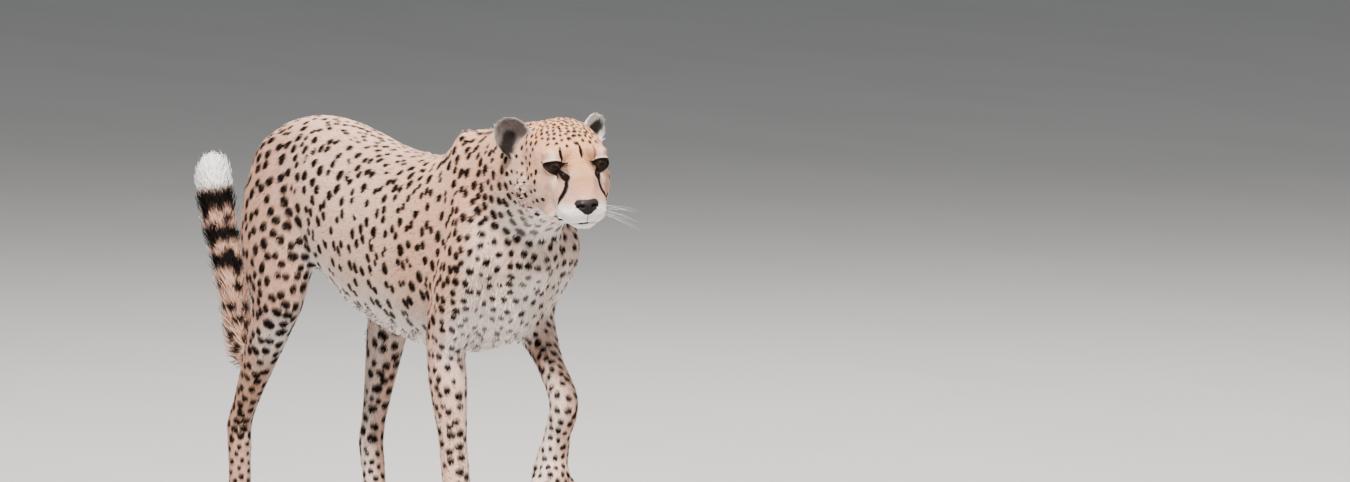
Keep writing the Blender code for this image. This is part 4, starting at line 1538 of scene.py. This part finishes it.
@dataclass
class Hairs:
    """Tufts or locks as arrays: corners, faces, colours and bake places."""

    points: Rows
    faces: Rows
    colours: Rows
    flat: Rows

    @staticmethod
    def joined(several: list["Hairs"]) -> "Hairs":
        """Several lots of hair as one.

        Args:
            several: the lots.

        Returns:
            One lot.
        """
        starts = np.cumsum([0] + [len(h.points) for h in several])
        return Hairs(np.concatenate([h.points for h in several]),
                     np.concatenate([h.faces + start for h, start in zip(several, starts)]),
                     np.concatenate([h.colours for h in several]),
                     np.concatenate([h.flat for h in several]))


@dataclass
class Coat:
    """The hair: short tufts all over, and longer locks where the animal has them."""

    skin: Skin
    marks: Markings
    unwrap: Unwrap
    coverage: float = 2.1                 # how many tufts lie over each place
    sunk: float = 0.4 * MM
    widest: float = 0.38
    fold: float = 0.25                    # drop of a tuft's sides below its ridge, against its width
    toe_trim: tuple = (0.25, 0.1, 0.3)    # how much shorter, narrower and flatter tufts are on the toes
    brightest: float = 0.93
    lock_width: float = 1.7 * MM
    draft_share: float = 0.30             # a share of the hair
    seed: int = 5
    tuft_seed: int = 40                   # plus the piece's number
    lock_seed: int = 60

    def sizes(self) -> Rows:
        """Length, width and lift of the tufts at every vertex.

        Returns:
            Three columns, one row for each vertex.
        """
        skin = self.skin
        length, width, lift = (skin.ruled(key) for key in ("length", "width", "depth"))
        head = skin.surface.spread(skin.on("head"), 4)
        from_nose = np.linalg.norm(self.marks.local - np.array((11.8, 0.0, -3.6)), axis=1)
        face = np.clip(2.0 + 0.28 * from_nose, 2.4, 5.2) * MM
        for side in Side:
            gap = np.linalg.norm(self.marks.local - skin.head.eyes[side], axis=1) - skin.head.eye_radius
            face = np.minimum(face, (1.5 + 1.6 * np.maximum(gap, 0)) * MM)
        length = length + (face - length) * head
        width = width + (np.clip(0.42 * MM + 0.10 * face, 0.65 * MM, 1.2 * MM) - width) * head
        lift = lift + (np.clip(0.24 * face, 0.5 * MM, 2.0 * MM) - lift) * head
        toes = skin.surface.spread(skin.on("forefoot", "hindfoot"), 3)
        toes *= ease(self.marks.points[:, 2], 0.05, 0.02)
        return np.stack((length, width, lift), axis=1) * (1 - toes[:, None] * self.toe_trim)

    def rooted(self, weights: Rows, sizes: Rows, seed: int) -> Roots:
        """Scatters roots over the skin.

        Args:
            weights: roots for each square metre, at every vertex.
            sizes: length, width and lift at every vertex.
            seed: which scatter.

        Returns:
            The roots.
        """
        rng = np.random.default_rng(seed)
        s, marks = self.skin.surface, self.marks
        share = s.areas() * weights[s.triangles].mean(axis=1)
        count = int(share.sum())
        edges = np.cumsum(share)
        where = np.searchsorted(edges, (np.arange(count) + rng.uniform(0, 1, count)) / count * edges[-1])
        corner = s.triangles[np.minimum(where, len(s.triangles) - 1)]
        a, b = rng.uniform(0, 1, (2, count))
        over = a + b > 1
        a[over], b[over] = 1 - a[over], 1 - b[over]
        bary = np.stack((1 - a - b, a, b), axis=1)
        nearest = corner[np.arange(count), bary.argmax(axis=1)]

        def blend(rows: Rows) -> Rows:
            """The value of every root, from its triangle's corners."""
            return sum(rows[corner[:, k]] * bary[:, k:k + 1] for k in range(3))

        flat = blend(self.unwrap.places)
        home = self.unwrap.places[nearest]
        parts = self.unwrap.parts[corner]
        torn = (np.abs(flat - home).max(axis=1) > 0.05) | (parts != parts[:, :1]).any(axis=1)
        flat[torn] = home[torn]
        return Roots(blend(s.points), nearest, unit(blend(marks.normals)), unit(blend(marks.flow)),
                     blend(marks.ground), flat, blend(sizes))

    def open_ground(self) -> Rows:
        """1 where hair grows, 0 on bare skin, under the soles and on the claws' sockets.

        Returns:
            One value for each vertex.
        """
        grown = 1.0 - ease(self.marks.bare, 0.15, 0.5)
        grown *= 1.0 - ease(self.marks.normals[:, 2], -0.75, -0.9) * ease(self.marks.points[:, 2], 0.02, 0.01)
        for side in Side:
            flat, distance, angle = self.marks.face.unrolled(self.marks.local, side)
            off, _ = self.marks.face.off_opening(flat)
            inside = (off < 0.16) & (distance < self.skin.head.eye_radius + 1.0)
            grown[inside & (angle < self.marks.face.opening)] = 0.0
        return grown

    def leaning(self, roots: Roots, rng: np.random.Generator, wander: float) -> tuple[Rows, Rows]:
        """The way each hair points along the skin, and the way across it.

        Args:
            roots: where the hairs grow.
            rng: the scatter.
            wander: how far they stray sideways.

        Returns:
            Two unit vectors for each root.
        """
        across = unit(np.cross(roots.normal, roots.flow))
        stray = wander * rng.normal(size=len(across)) + 0.10 * waves(roots.place, 0.022, 21)
        ahead = unit(roots.flow + across * stray[:, None])
        return ahead, unit(np.cross(roots.normal, ahead))

    def tone(self, roots: Roots, rng: np.random.Generator) -> Rows:
        """A shade for each hair around 1, in clumps and hair by hair."""
        return 1.0 + 0.075 * rng.normal(size=len(roots.place)) + 0.045 * waves(roots.place, 0.014, 22)

    def tufts(self, roots: Roots, seed: int) -> Hairs:
        """Two-sided kites folded along their ridge, one for each root.

        Args:
            roots: where they grow.
            seed: which scatter.

        Returns:
            Their arrays.
        """
        rng = np.random.default_rng(seed)
        count = len(roots.place)
        ahead, across = self.leaning(roots, rng, 0.13)
        length = roots.size[:, :1] * rng.uniform(0.72, 1.25, (count, 1))
        width = roots.size[:, 1:2] * rng.uniform(0.8, 1.25, (count, 1))
        lift = roots.size[:, 2:] * rng.uniform(0.55, 1.05, (count, 1))
        tip = roots.place + ahead * length + roots.normal * lift
        base = roots.place - roots.normal * self.sunk
        waist = base + (tip - base) * self.widest - roots.normal * width * self.fold
        points = np.stack((base, waist + across * width / 2, waist - across * width / 2, tip), axis=1)
        faces = np.array(((0, 1, 3), (0, 3, 2)))
        ring = np.array(((0, -1), (1, 0), (-1, 0), (0, 1)))
        shade = self.tone(roots, rng)[:, None]
        # The roots are painted darker (0.80) as painted shade among the hairs; the tips are paler.
        tones = [self.marks.colour_at(roots.place + ahead * length * share, roots.vertex,
                                      np.clip(roots.ground * shade * light, 0, self.brightest))
                 for share, light in ((0.0, 0.80), (self.widest, 1.0), (0.92, 1.10))]
        colours = np.stack((tones[0], tones[1], tones[1], tones[2]), axis=1)
        return self.gathered(points, faces, colours, roots.flat, ring)

    @staticmethod
    def gathered(points: Rows, faces: Rows, colours: Rows, flat: Rows,
                 ring: Rows) -> Hairs:
        """Packs one lot of equal hairs into plain arrays.

        Args:
            points: corners of every hair.
            faces: the corners of one hair's triangles.
            colours: the colour of every corner.
            flat: each root's place on the bake map.
            ring: where each corner sits in a hair's patch, from -1 to 1.

        Returns:
            The arrays of the whole lot.
        """
        count, corners = points.shape[:2]
        every = (np.arange(count)[:, None, None] * corners + faces[None]).reshape(-1, 3)
        spots = flat[:, None, :] + ring[None] * PATCH / 2
        return Hairs(points.reshape(-1, 3), every, colours.reshape(-1, 3), spots.reshape(-1, 2))

    def lock_fields(self) -> tuple[Rows, Rows, Rows]:
        """Locks for each square metre, their length and their lift at every vertex.

        Returns:
            The three fields.
        """
        skin, n = self.skin, self.marks.normals
        x, _, z = self.marks.points.T
        f, l, u = self.marks.local.T
        wide = np.abs(l)
        body, neck, head = skin.on("trunk"), skin.on("neck"), skin.on("head")
        crest = ease(n[:, 2], 0.80, 0.96) * ease(x, 0.02, 0.16) * np.maximum(body, neck)
        nape = ease(n[:, 2], 0.5, 0.9) * ease(f, -4.0, -8.0) * np.maximum(head, neck)
        breast = ease(n[:, 0], 0.35, 0.8) * ease(z, 0.68, 0.56) * np.maximum(body, neck)
        belly = ease(n[:, 2], -0.45, -0.85) * body * ease(z, 0.30, 0.36)
        rear = ease(n[:, 0], -0.35, -0.8) * np.maximum(skin.on("thigh"), body * ease(x, -0.15, -0.25))
        cheek = bump(np.hypot(f + 0.5, (u + 4.2) * 0.7), 2.2) * ease(wide, 4.6, 5.6) * head
        throat = ease(n[:, 2], -0.4, -0.8) * ease(f, 2.0, -3.0) * np.maximum(head, neck)
        brush = skin.on("tail_tip") + 0.4 * skin.on("tail_middle")
        inner = np.zeros(len(x))
        for side in Side:
            root, tip, face = self.marks.ear_frame(side)
            there = self.marks.local - root
            rim = ease(np.hypot(there @ np.cross(tip, face), (there @ tip) - 2.8), 1.5, 2.2)
            inner += skin.on(f"ear_{side.word}") * rim * ease(n @ skin.head.aim(face), 0.1, 0.5)
        # Where, how many to a square centimetre, and the length and lift in millimetres.
        plans = ((crest, 2.6, 20, 6), (nape, 3.0, 16, 4), (breast, 2.2, 14, 4), (belly, 3.2, 22, 6),
                 (rear, 2.6, 17, 5), (cheek, 6.0, 12, 3), (throat, 1.8, 11, 3), (brush, 9.0, 28, 10),
                 (inner, 10.0, 8, 2))
        amount, length, lift, total = (np.full(len(x), tiny) for tiny in (0.0, 1e-8, 1e-9, 1e-6))
        for hold, each, long, high in plans:
            amount = np.maximum(amount, hold * each)
            total += hold
            length += hold * long * MM
            lift += hold * high * MM
        return amount / CM ** 2, length / total, lift / total

    def locks(self, roots: Roots, seed: int) -> Hairs:
        """Longer ribbons with a ridge, bent outward and then down again.

        Args:
            roots: where they grow.
            seed: which scatter.

        Returns:
            Their arrays.
        """
        rng = np.random.default_rng(seed)
        count = len(roots.place)
        ahead, across = self.leaning(roots, rng, 0.20)
        length = roots.size[:, :1] * rng.uniform(0.7, 1.2, (count, 1))
        width = roots.size[:, 1:2] * rng.uniform(0.8, 1.2, (count, 1))
        lift = roots.size[:, 2:] * rng.uniform(0.5, 1.1, (count, 1))
        bend = across * (length * 0.10 * rng.normal(size=(count, 1)))
        rows, ring, shares = [], [], (0.0, 0.30, 0.66, 1.0)
        for share, broad in zip(shares, (0.0, 1.0, 0.8, 0.0)):
            ridge = roots.place + ahead * length * share + roots.normal * (
                lift * math.sin(share * 2.1) / math.sin(2.1 * 0.75) - self.sunk * (1 - share))
            ridge = ridge + bend * share ** 2
            ridge[:, 2] -= (length * 0.10 * share ** 2)[:, 0]
            if broad:
                drop = roots.normal * width * self.fold
                half = across * width * broad / 2
                rows += [ridge + half - drop, ridge, ridge - half - drop]
                ring += [(1, share * 2 - 1), (0, share * 2 - 1), (-1, share * 2 - 1)]
            else:
                rows.append(ridge)
                ring.append((0, share * 2 - 1))
        faces = np.array(((0, 1, 2), (0, 2, 3), (1, 4, 5), (1, 5, 2), (2, 5, 6), (2, 6, 3),
                          (4, 7, 5), (5, 7, 6)))
        shade = self.tone(roots, rng)[:, None]
        # The roots are painted darker (0.80) as painted shade among the hairs; the tips are paler.
        tones = [self.marks.colour_at(roots.place + ahead * length * share, roots.vertex,
                                      np.clip(roots.ground * shade * light, 0, self.brightest))
                 for share, light in zip(shares, (0.80, 1.0, 1.05, 1.12))]
        colours = np.stack([tones[0]] + [tones[1]] * 3 + [tones[2]] * 3 + [tones[3]], axis=1)
        return self.gathered(np.stack(rows, axis=1), faces, colours, roots.flat, np.array(ring))

    def grow(self) -> None:
        """Grows the whole coat and makes its pieces."""
        sizes, open_ground = self.sizes(), self.open_ground()
        few = 1.0
        sizes[:, 1] /= few ** 0.9
        weights = self.coverage / (0.5 * sizes[:, 0] * sizes[:, 1]) * open_ground
        tufts = self.rooted(weights, sizes, self.seed)
        amount, length, lift = self.lock_fields()
        lock_sizes = np.stack((length, np.full(len(length), self.lock_width), lift), axis=1)
        locks = self.rooted(amount * open_ground * few, lock_sizes, self.seed + 1)
        for k, patch in enumerate(Patch):
            made = [self.tufts(tufts.part(self.unwrap.patches[tufts.vertex] == k), self.tuft_seed + k)]
            mine = locks.part(self.unwrap.patches[locks.vertex] == k)
            if len(mine.place):
                made.append(self.locks(mine, self.lock_seed + k))
            self.piece(patch, Hairs.joined(made))

    def piece(self, patch: Patch, hairs: Hairs) -> None:
        """Makes one coat piece with its colours and its bake map.

        Args:
            patch: which piece.
            hairs: its hair.
        """
        hairs.points[:, 2] = np.maximum(hairs.points[:, 2], 0.2 * MM)
        mesh = mesh_of(patch.value, hairs.points, hairs.faces)
        paint(mesh, hairs.colours)
        layer = mesh.uv_layers.new(name=BAKE_MAP)
        layer.data.foreach_set("uv", hairs.flat[hairs.faces.ravel()].astype(np.float32).ravel())
        slot = {Patch.EARS: Slot.EAR, Patch.FORELEGS: Slot.PALE, Patch.HINDLEG_RIGHT: Slot.PALE,
                Patch.HINDLEG_LEFT: Slot.PALE}.get(patch, Slot.GOLDEN)
        new_piece(patch.value, mesh, slot, HairFinish(patch.value).made())
        log.info("%s: %d triangles", patch.value, len(hairs.faces))


class Shader:
    """A procedural material in the making."""

    def __init__(self, name: str) -> None:
        """Starts from one Principled shader.

        Args:
            name: the material's name.
        """
        self.material = bpy.data.materials.new(name)
        self.material.use_nodes = True
        self.tree = self.material.node_tree
        self.skin = self.tree.nodes["Principled BSDF"]

    def node(self, kind: str, **settings: object) -> Node:
        """A new node with its settings.

        Args:
            kind: Blender's name of the node.
            settings: its properties.

        Returns:
            The node.
        """
        made = self.tree.nodes.new(kind)
        for key, value in settings.items():
            setattr(made, key, value)
        return made

    def link(self, out: NodeSocket, into: NodeSocket) -> None:
        """Joins two sockets."""
        self.tree.links.new(out, into)

    def constants(self, **values: float) -> None:
        """Sets plain sockets of the shader; underscores stand for the spaces in their names."""
        for key, value in values.items():
            self.skin.inputs[key.replace("_", " ")].default_value = value

    def noise(self, scale: float, detail: float = 3.0, stretch: tuple = (1.0, 1.0, 1.0)) -> Node:
        """Noise in the object's own space.

        Args:
            scale: how fine.
            detail: how many finer layers.
            stretch: the scale along each axis.

        Returns:
            The noise node.
        """
        place = self.node("ShaderNodeTexCoord")
        sized = self.node("ShaderNodeMapping")
        sized.inputs["Scale"].default_value = stretch
        made = self.node("ShaderNodeTexNoise")
        made.inputs["Scale"].default_value = scale
        made.inputs["Detail"].default_value = detail
        self.link(place.outputs["Object"], sized.inputs["Vector"])
        self.link(sized.outputs["Vector"], made.inputs["Vector"])
        return made

    def ranged(self, out: NodeSocket, low: float, high: float, start: float = 0.3,
               end: float = 0.7) -> NodeSocket:
        """A value from start to end, spread over low to high.

        Args:
            out: the value to spread.
            low: the result at the start.
            high: the result at the end.
            start: the value that gives low.
            end: the value that gives high.

        Returns:
            The result's socket.
        """
        made = self.node("ShaderNodeMapRange")
        for key, value in (("From Min", start), ("From Max", end), ("To Min", low), ("To Max", high)):
            made.inputs[key].default_value = value
        self.link(out, made.inputs["Value"])
        return made.outputs["Result"]

    def times(self, colour: NodeSocket, factor: NodeSocket) -> NodeSocket:
        """A colour made darker or lighter by a factor.

        Args:
            colour: the colour's socket.
            factor: the factor's socket.

        Returns:
            The result's socket.
        """
        made = self.node("ShaderNodeVectorMath", operation="SCALE")
        self.link(colour, made.inputs[0])
        self.link(factor, made.inputs["Scale"])
        return made.outputs["Vector"]

    def ridges(self, height: NodeSocket, depth: float, strength: float = 1.0) -> None:
        """Raises the surface by a height.

        Args:
            height: the height's socket.
            depth: how high 1 stands.
            strength: how much of it shows.
        """
        made = self.node("ShaderNodeBump")
        made.inputs["Strength"].default_value = strength
        made.inputs["Distance"].default_value = depth
        self.link(height, made.inputs["Height"])
        self.link(made.outputs["Normal"], self.skin.inputs["Normal"])


@dataclass(frozen=True)
class HairFinish:
    """Soft hair that takes its colour from the markings, with bare wet skin where it is glossy."""

    name: str
    stretch: tuple = (0.35, 1.0, 0.6)
    roughness: float = 0.72
    wet: float = 0.38
    grain: float = 620.0
    depth: float = 0.25 * MM

    def made(self) -> Material:
        """Makes the material.

        Returns:
            The material.
        """
        shader = Shader(self.name)
        colour = shader.node("ShaderNodeAttribute", attribute_name=COLOUR)
        gloss = shader.node("ShaderNodeAttribute", attribute_name=GLOSS)
        grain = shader.noise(self.grain, 4.0, self.stretch)
        uneven = shader.ranged(grain.outputs["Fac"], 0.84, 1.14)
        shader.link(shader.times(colour.outputs["Color"], uneven), shader.skin.inputs["Base Color"])
        rough = shader.ranged(gloss.outputs["Fac"], self.roughness, self.wet, 0.0, 1.0)
        shader.link(rough, shader.skin.inputs["Roughness"])
        shader.constants(IOR=1.45, Specular_IOR_Level=0.10)
        shader.ridges(grain.outputs["Fac"], self.depth)
        return shader.material


@dataclass(frozen=True)
class EyeFinish:
    """A wet eyeball, coloured by its own rings, under a clear cornea."""

    name: str
    roughness: float = 0.4
    film: float = 0.20                    # weight of the tear film over the ball

    def made(self) -> Material:
        """Makes the material.

        Returns:
            The material.
        """
        shader = Shader(self.name)
        colour = shader.node("ShaderNodeAttribute", attribute_name=COLOUR)
        fibres = shader.noise(900.0, 2.0)
        uneven = shader.ranged(fibres.outputs["Fac"], 0.75, 1.3)
        shader.link(shader.times(colour.outputs["Color"], uneven), shader.skin.inputs["Base Color"])
        shader.constants(Roughness=self.roughness, IOR=1.34, Specular_IOR_Level=0.05)
        shader.constants(Coat_Weight=self.film, Coat_Roughness=0.03)
        return shader.material


@dataclass(frozen=True)
class HornFinish:
    """Horn of one colour, with fine streaks along it."""

    name: str
    dark: tuple
    light: tuple
    roughness: float = 0.38
    scale: float = 260.0
    ior: float = 1.5

    def made(self) -> Material:
        """Makes the material.

        Returns:
            The material.
        """
        shader = Shader(self.name)
        streaks = shader.noise(self.scale, 4.0, (0.3, 1.0, 1.0))
        ramp = shader.node("ShaderNodeValToRGB")
        stops = zip(ramp.color_ramp.elements, (0.35, 0.7), (self.dark, self.light))
        for stop, position, colour in stops:
            stop.position, stop.color = position, (*colour, 1.0)
        shader.link(streaks.outputs["Fac"], ramp.inputs["Fac"])
        shader.link(ramp.outputs["Color"], shader.skin.inputs["Base Color"])
        shader.constants(Roughness=self.roughness, IOR=self.ior)
        shader.ridges(streaks.outputs["Fac"], 0.1 * MM)
        return shader.material


def tube(path: Rows, radii: Rows, sides: int,
         closed: bool = False) -> tuple[Rows, Rows]:
    """A tube along a path.

    Args:
        path: the places of its axis.
        radii: its radius at each.
        sides: how many sides it has.
        closed: True to join its end to its start.

    Returns:
        Its corners and its triangles.
    """
    count = len(path)
    if closed:
        ahead = unit(np.roll(path, -1, axis=0) - np.roll(path, 1, axis=0))
    else:
        ahead = unit(np.gradient(path, axis=0))
    first = np.eye(3)[np.abs(ahead[0]).argmin()]
    across = []
    for way in ahead:
        first = unit(first - way * (first @ way))
        across.append(first)
    across = np.array(across)
    other = np.cross(ahead, across)
    turn = np.arange(sides) / sides * math.tau
    ring = across[:, None] * np.cos(turn)[None, :, None] + other[:, None] * np.sin(turn)[None, :, None]
    points = (path[:, None] + ring * radii[:, None, None]).reshape(-1, 3)
    rows = np.arange(count if closed else count - 1)[:, None]
    k = np.arange(sides)[None]
    a, b = rows * sides + k, rows * sides + (k + 1) % sides
    c, d = (rows + 1) % count * sides + k, (rows + 1) % count * sides + (k + 1) % sides
    faces = np.concatenate([np.stack((a, b, d), -1).reshape(-1, 3), np.stack((a, d, c), -1).reshape(-1, 3)])
    return points, faces


@dataclass
class Eyes:
    """The two eyeballs with iris and pupil, and the dark wet edges of the lids."""

    face: Face
    gaze: tuple = (0.975, 0.20, -0.02)
    pupil: float = 0.42               # centimetres on the eyeball, like the reaches below
    iris: float = 1.10
    cover: float = math.radians(82)
    bulge: float = 0.035              # how far the cornea stands out
    margin: float = 0.040             # radius of the wet edge of the lids
    margin_out: float = 0.06          # and how far its middle stands off the eyeball
    margin_steps: int = 70            # along each lid
    margin_sides: int = 8
    rows: int = 56
    sides: int = 72
    # The iris keeps its amber hue but, like the white, is painted far darker, as painted shade from the brow
    # and lids.
    amber: tuple = (0.022, 0.0095, 0.004)
    amber_ray: tuple = (0.011, 0.0045, 0.002)
    inner_ring: tuple = (0.012, 0.005, 0.003)
    outer_ring: tuple = (0.006, 0.003, 0.003)
    eye_white: tuple = (0.012, 0.008, 0.007)
    black: tuple = (0.002, 0.002, 0.002)

    def build(self) -> None:
        """Makes both eyes."""
        for side in Side:
            self.ball(side)
            self.lid_margin(side)

    def ball(self, side: Side) -> None:
        """Makes one eyeball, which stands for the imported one.

        Args:
            side: which eye.
        """
        head, name = self.face.skin.head, f"eye_{side.word}"
        gaze = unit(np.array(self.gaze) * (1, side.value, 1))
        across = unit(np.cross((0.0, 0.0, 1.0), gaze))
        up = np.cross(gaze, across)
        angle = np.linspace(0, 1, self.rows)[:, None] ** 1.1 * self.cover
        turn = np.arange(self.sides)[None] / self.sides * math.tau
        reach = angle * head.eye_radius + 0 * turn
        out = head.eye_radius + self.bulge * (ease(reach, self.iris * 1.15, 0.0) - 0.5)
        ray = (np.cos(angle)[..., None] * gaze + np.sin(angle)[..., None]
               * (np.cos(turn)[..., None] * across + np.sin(turn)[..., None] * up))
        points = head.world((head.eyes[side] + ray * out[..., None]).reshape(-1, 3))
        r, k = np.arange(self.rows - 1)[:, None], np.arange(self.sides)[None]
        a, b = r * self.sides + k, r * self.sides + (k + 1) % self.sides
        faces = np.stack((a, b, b + self.sides, a + self.sides), -1).reshape(-1, 4)
        mesh = mesh_of(f"{name}_ball", points, faces)
        paint(mesh, self.rings(reach.ravel(), np.broadcast_to(turn, reach.shape).ravel()), 1.0)
        ball = new_piece(f"{name}_ball", mesh, Slot.EYE, EyeFinish(f"{name}_wet").made())
        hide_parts(name)

    def rings(self, reach: Rows, turn: Rows) -> Rows:
        """Black pupil, amber iris with darker rim and rays, and dark white of the eye.

        Args:
            reach: how far each place is from the pupil's middle.
            turn: its angle around it.

        Returns:
            The colours.
        """
        rays = 0.5 + 0.5 * np.sin(turn * 23 + 2 * np.sin(turn * 7)) * np.sin(turn * 11 + 1.3)
        colour = mix(np.tile(self.amber, (len(reach), 1)), self.amber_ray, rays * 0.6)
        colour = mix(colour, self.inner_ring, ease(reach, self.pupil * 1.7, self.pupil))
        colour = mix(colour, self.outer_ring, ease(reach, self.iris * 0.80, self.iris * 0.97))
        colour = mix(colour, self.eye_white, ease(reach, self.iris, self.iris * 1.1))
        return mix(colour, self.black, ease(reach, self.pupil * 1.04, self.pupil * 0.96))

    def lid_margin(self, side: Side) -> None:
        """Makes the wet edge of an eye's lids.

        Args:
            side: which eye.
        """
        head = self.face.skin.head
        ring = self.face.eye_outline(self.margin_steps)
        place = self.face.rolled(ring, np.full(len(ring), head.eye_radius + self.margin_out), side)
        points, faces = tube(place, np.full(len(ring), self.margin), self.margin_sides, closed=True)
        name = f"lid_margin_{side.word}"
        mesh = mesh_of(name, head.world(points), faces)
        finish = HornFinish(name, (0.003, 0.003, 0.003), (0.006, 0.005, 0.005), 0.6, ior=1.2)
        new_piece(name, mesh, Slot.EYE, finish.made())


@dataclass
class Claws:
    """The claws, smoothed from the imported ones."""

    weld: float = 0.02 * MM           # corners closer than this become one
    flat: float = math.radians(2)     # faces that meet at less than this become one
    levels: int = 2                   # of subdivision

    def build(self) -> None:
        """Makes a smooth claw for each packed one."""
        finish = HornFinish("claw_horn", (0.022, 0.017, 0.014), (0.075, 0.060, 0.048)).made()
        for name in sorted(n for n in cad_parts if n.startswith("claw")):
            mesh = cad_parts[name].data.copy()
            bm = bmesh.new()
            bm.from_mesh(mesh)
            bmesh.ops.remove_doubles(bm, verts=bm.verts, dist=self.weld)
            bmesh.ops.dissolve_limit(bm, angle_limit=self.flat, verts=bm.verts, edges=bm.edges)
            bm.to_mesh(mesh)
            bm.free()
            claw = new_piece(f"{name}_horn", mesh, Slot.CLAW, finish)
            round_off = claw.modifiers.new("round", "SUBSURF")
            round_off.levels = round_off.render_levels = self.levels
            Skin.settled(claw)
            claw.data.polygons.foreach_set("use_smooth", np.ones(len(claw.data.polygons), dtype=bool))
            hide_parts(name)


@dataclass
class Whiskers:
    """Stiff white whiskers in four rows on the upper lip, and a few over each eye."""

    marks: Markings
    rows: tuple = ((9.9, 2.35, -4.3, 2), (9.6, 2.9, -4.9, 3), (9.3, 3.2, -5.4, 3), (9.1, 3.4, -5.9, 3))
    brow: tuple = (5.9, 2.7, 3.9, 3)
    step: float = 0.62
    radius: float = 0.12 * MM
    steps: int = 9                    # places along each whisker
    sides: int = 4
    seed: int = 17

    def build(self) -> None:
        """Makes all the whiskers as one piece."""
        rng = np.random.default_rng(self.seed)
        head, lots = self.marks.skin.head, []
        for side in Side:
            for forward, left, up, count in (*self.rows, self.brow):
                for k in range(count):
                    start = np.array((forward - self.step * k, (left + 0.16 * k) * side.value, up - 0.05 * k))
                    start = self.marks.skin.laid(start[None])[0]
                    if up > 0:
                        length, way = rng.uniform(3.0, 4.4), np.array((0.25, 0.50 * side.value, 0.85))
                        sag = (-0.45, 0.1 * side.value, -0.1)
                    else:
                        length = rng.uniform(5.0, 7.2) * (1 - 0.05 * k)
                        way = np.array((0.30 - 0.10 * k, 0.72 * side.value, -0.08 - 0.10 * (up < -5)))
                        sag = (-0.42, 0.05 * side.value, -0.22)
                    way = unit(way + rng.normal(size=3) * 0.10)
                    t = np.linspace(0, 1, self.steps)[:, None]
                    path = start + way * t * length + np.array(sag) * t ** 2 * length * 0.8 - way * 0.15
                    lots.append(tube(head.world(path), self.radius * (1 - 0.85 * t[:, 0] ** 1.5), self.sides))
        starts = np.cumsum([0] + [len(points) for points, _ in lots])
        mesh = mesh_of("whiskers", np.concatenate([p for p, _ in lots]),
                       np.concatenate([f + start for (_, f), start in zip(lots, starts)]))
        finish = HornFinish("whisker", (0.80, 0.76, 0.70), (0.9, 0.88, 0.85), 0.45)
        new_piece("whiskers", mesh, Slot.WHITE, finish.made())
        log.info("whiskers: %d", len(lots))


@dataclass(frozen=True)
class Studio:
    """A pale floor, soft light and a long lens at a low three-quarter view from the front."""

    target: tuple = (0.4267, 0.2411, 0.6034)
    azimuth: float = math.radians(60)
    elevation: float = math.radians(5)
    distance: float = 18.0
    frame_width: float = 2.109375

    def build(self) -> None:
        """Sets up floor, light and camera."""
        self.floor()
        self.light()
        self.camera()

    def floor(self) -> None:
        """A wide plain floor."""
        span = 40.0
        corners = np.array([(x * span, y * span, -0.1 * MM) for x, y in ((-1, -1), (1, -1), (1, 1), (-1, 1))])
        floor = bpy.data.objects.new("floor", mesh_of("floor", corners, np.array([[0, 1, 2, 3]])))
        bpy.context.scene.collection.objects.link(floor)
        finish = HornFinish("floor_pale", (0.49, 0.48, 0.46), (0.51, 0.50, 0.48), 0.9, 3.0)
        floor.data.materials.append(finish.made())
        floor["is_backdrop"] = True

    def light(self) -> None:
        """Large soft lamps: a warm key from high on the camera's left, a fill and a rim."""
        world = bpy.data.worlds.new("studio")
        world.use_nodes = True
        world.node_tree.nodes["Background"].inputs["Color"].default_value = (0.80, 0.84, 0.90, 1.0)
        world.node_tree.nodes["Background"].inputs["Strength"].default_value = 0.30
        bpy.context.scene.world = world
        for name, place, size, power, colour in (
                ("key", (3.0, -2.2, 5.6), 1.2, 1350.0, (1.0, 0.965, 0.93)),
                ("fill", (4.8, 0.4, 2.6), 2.6, 70.0, (0.95, 0.97, 1.0)),
                ("rim", (-2.6, 2.4, 4.6), 2.4, 330.0, (1.0, 0.98, 0.96))):
            lamp = bpy.data.lights.new(name, "AREA")
            lamp.shape, lamp.size, lamp.energy, lamp.color = "DISK", size, power, colour
            thing = bpy.data.objects.new(name, lamp)
            bpy.context.scene.collection.objects.link(thing)
            thing.location = place
            thing.rotation_mode = "QUATERNION"
            thing.rotation_quaternion = (Vector((0, 0, 0.45)) - Vector(place)).to_track_quat("-Z", "Y")

    def camera(self) -> None:
        """A long lens from ahead and to the animal's right."""
        lens = bpy.data.cameras.new("camera")
        lens.sensor_width = 36.0
        lens.lens = lens.sensor_width * self.distance / self.frame_width
        lens.clip_end = 200.0
        camera = bpy.data.objects.new("camera", lens)
        bpy.context.scene.collection.objects.link(camera)
        back = Vector((math.sin(self.azimuth) * math.cos(self.elevation),
                       -math.cos(self.azimuth) * math.cos(self.elevation), math.sin(self.elevation)))
        camera.location = Vector(self.target) + back * self.distance
        camera.rotation_mode = "QUATERNION"
        camera.rotation_quaternion = (-back).to_track_quat("-Z", "Y")
        bpy.context.scene.camera = camera


def main() -> None:
    """Builds the whole animal and its studio."""
    skin = Skin(Head())
    skin.shape()
    face = Face(skin)
    marks = Markings(skin, face)
    vertices = np.arange(len(marks.points))
    paint(skin.thing.data, marks.colour_at(marks.points, vertices, marks.ground), marks.bare)
    skin.dress()
    Coat(skin, marks, Unwrap(skin, marks)).grow()
    Eyes(face).build()
    Claws().build()
    Whiskers(marks).build()
    Studio().build()
    low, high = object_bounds()
    sizes = {"solid": [list(corner) for corner in solid_box], "visual": [list(low), list(high)]}
    log.info("size: solid %s, visual %s", sizes["solid"], sizes["visual"])


if __name__ == "__main__":
    logging.basicConfig(level=logging.INFO, format="%(relativeCreated)d ms %(message)s")
    main()
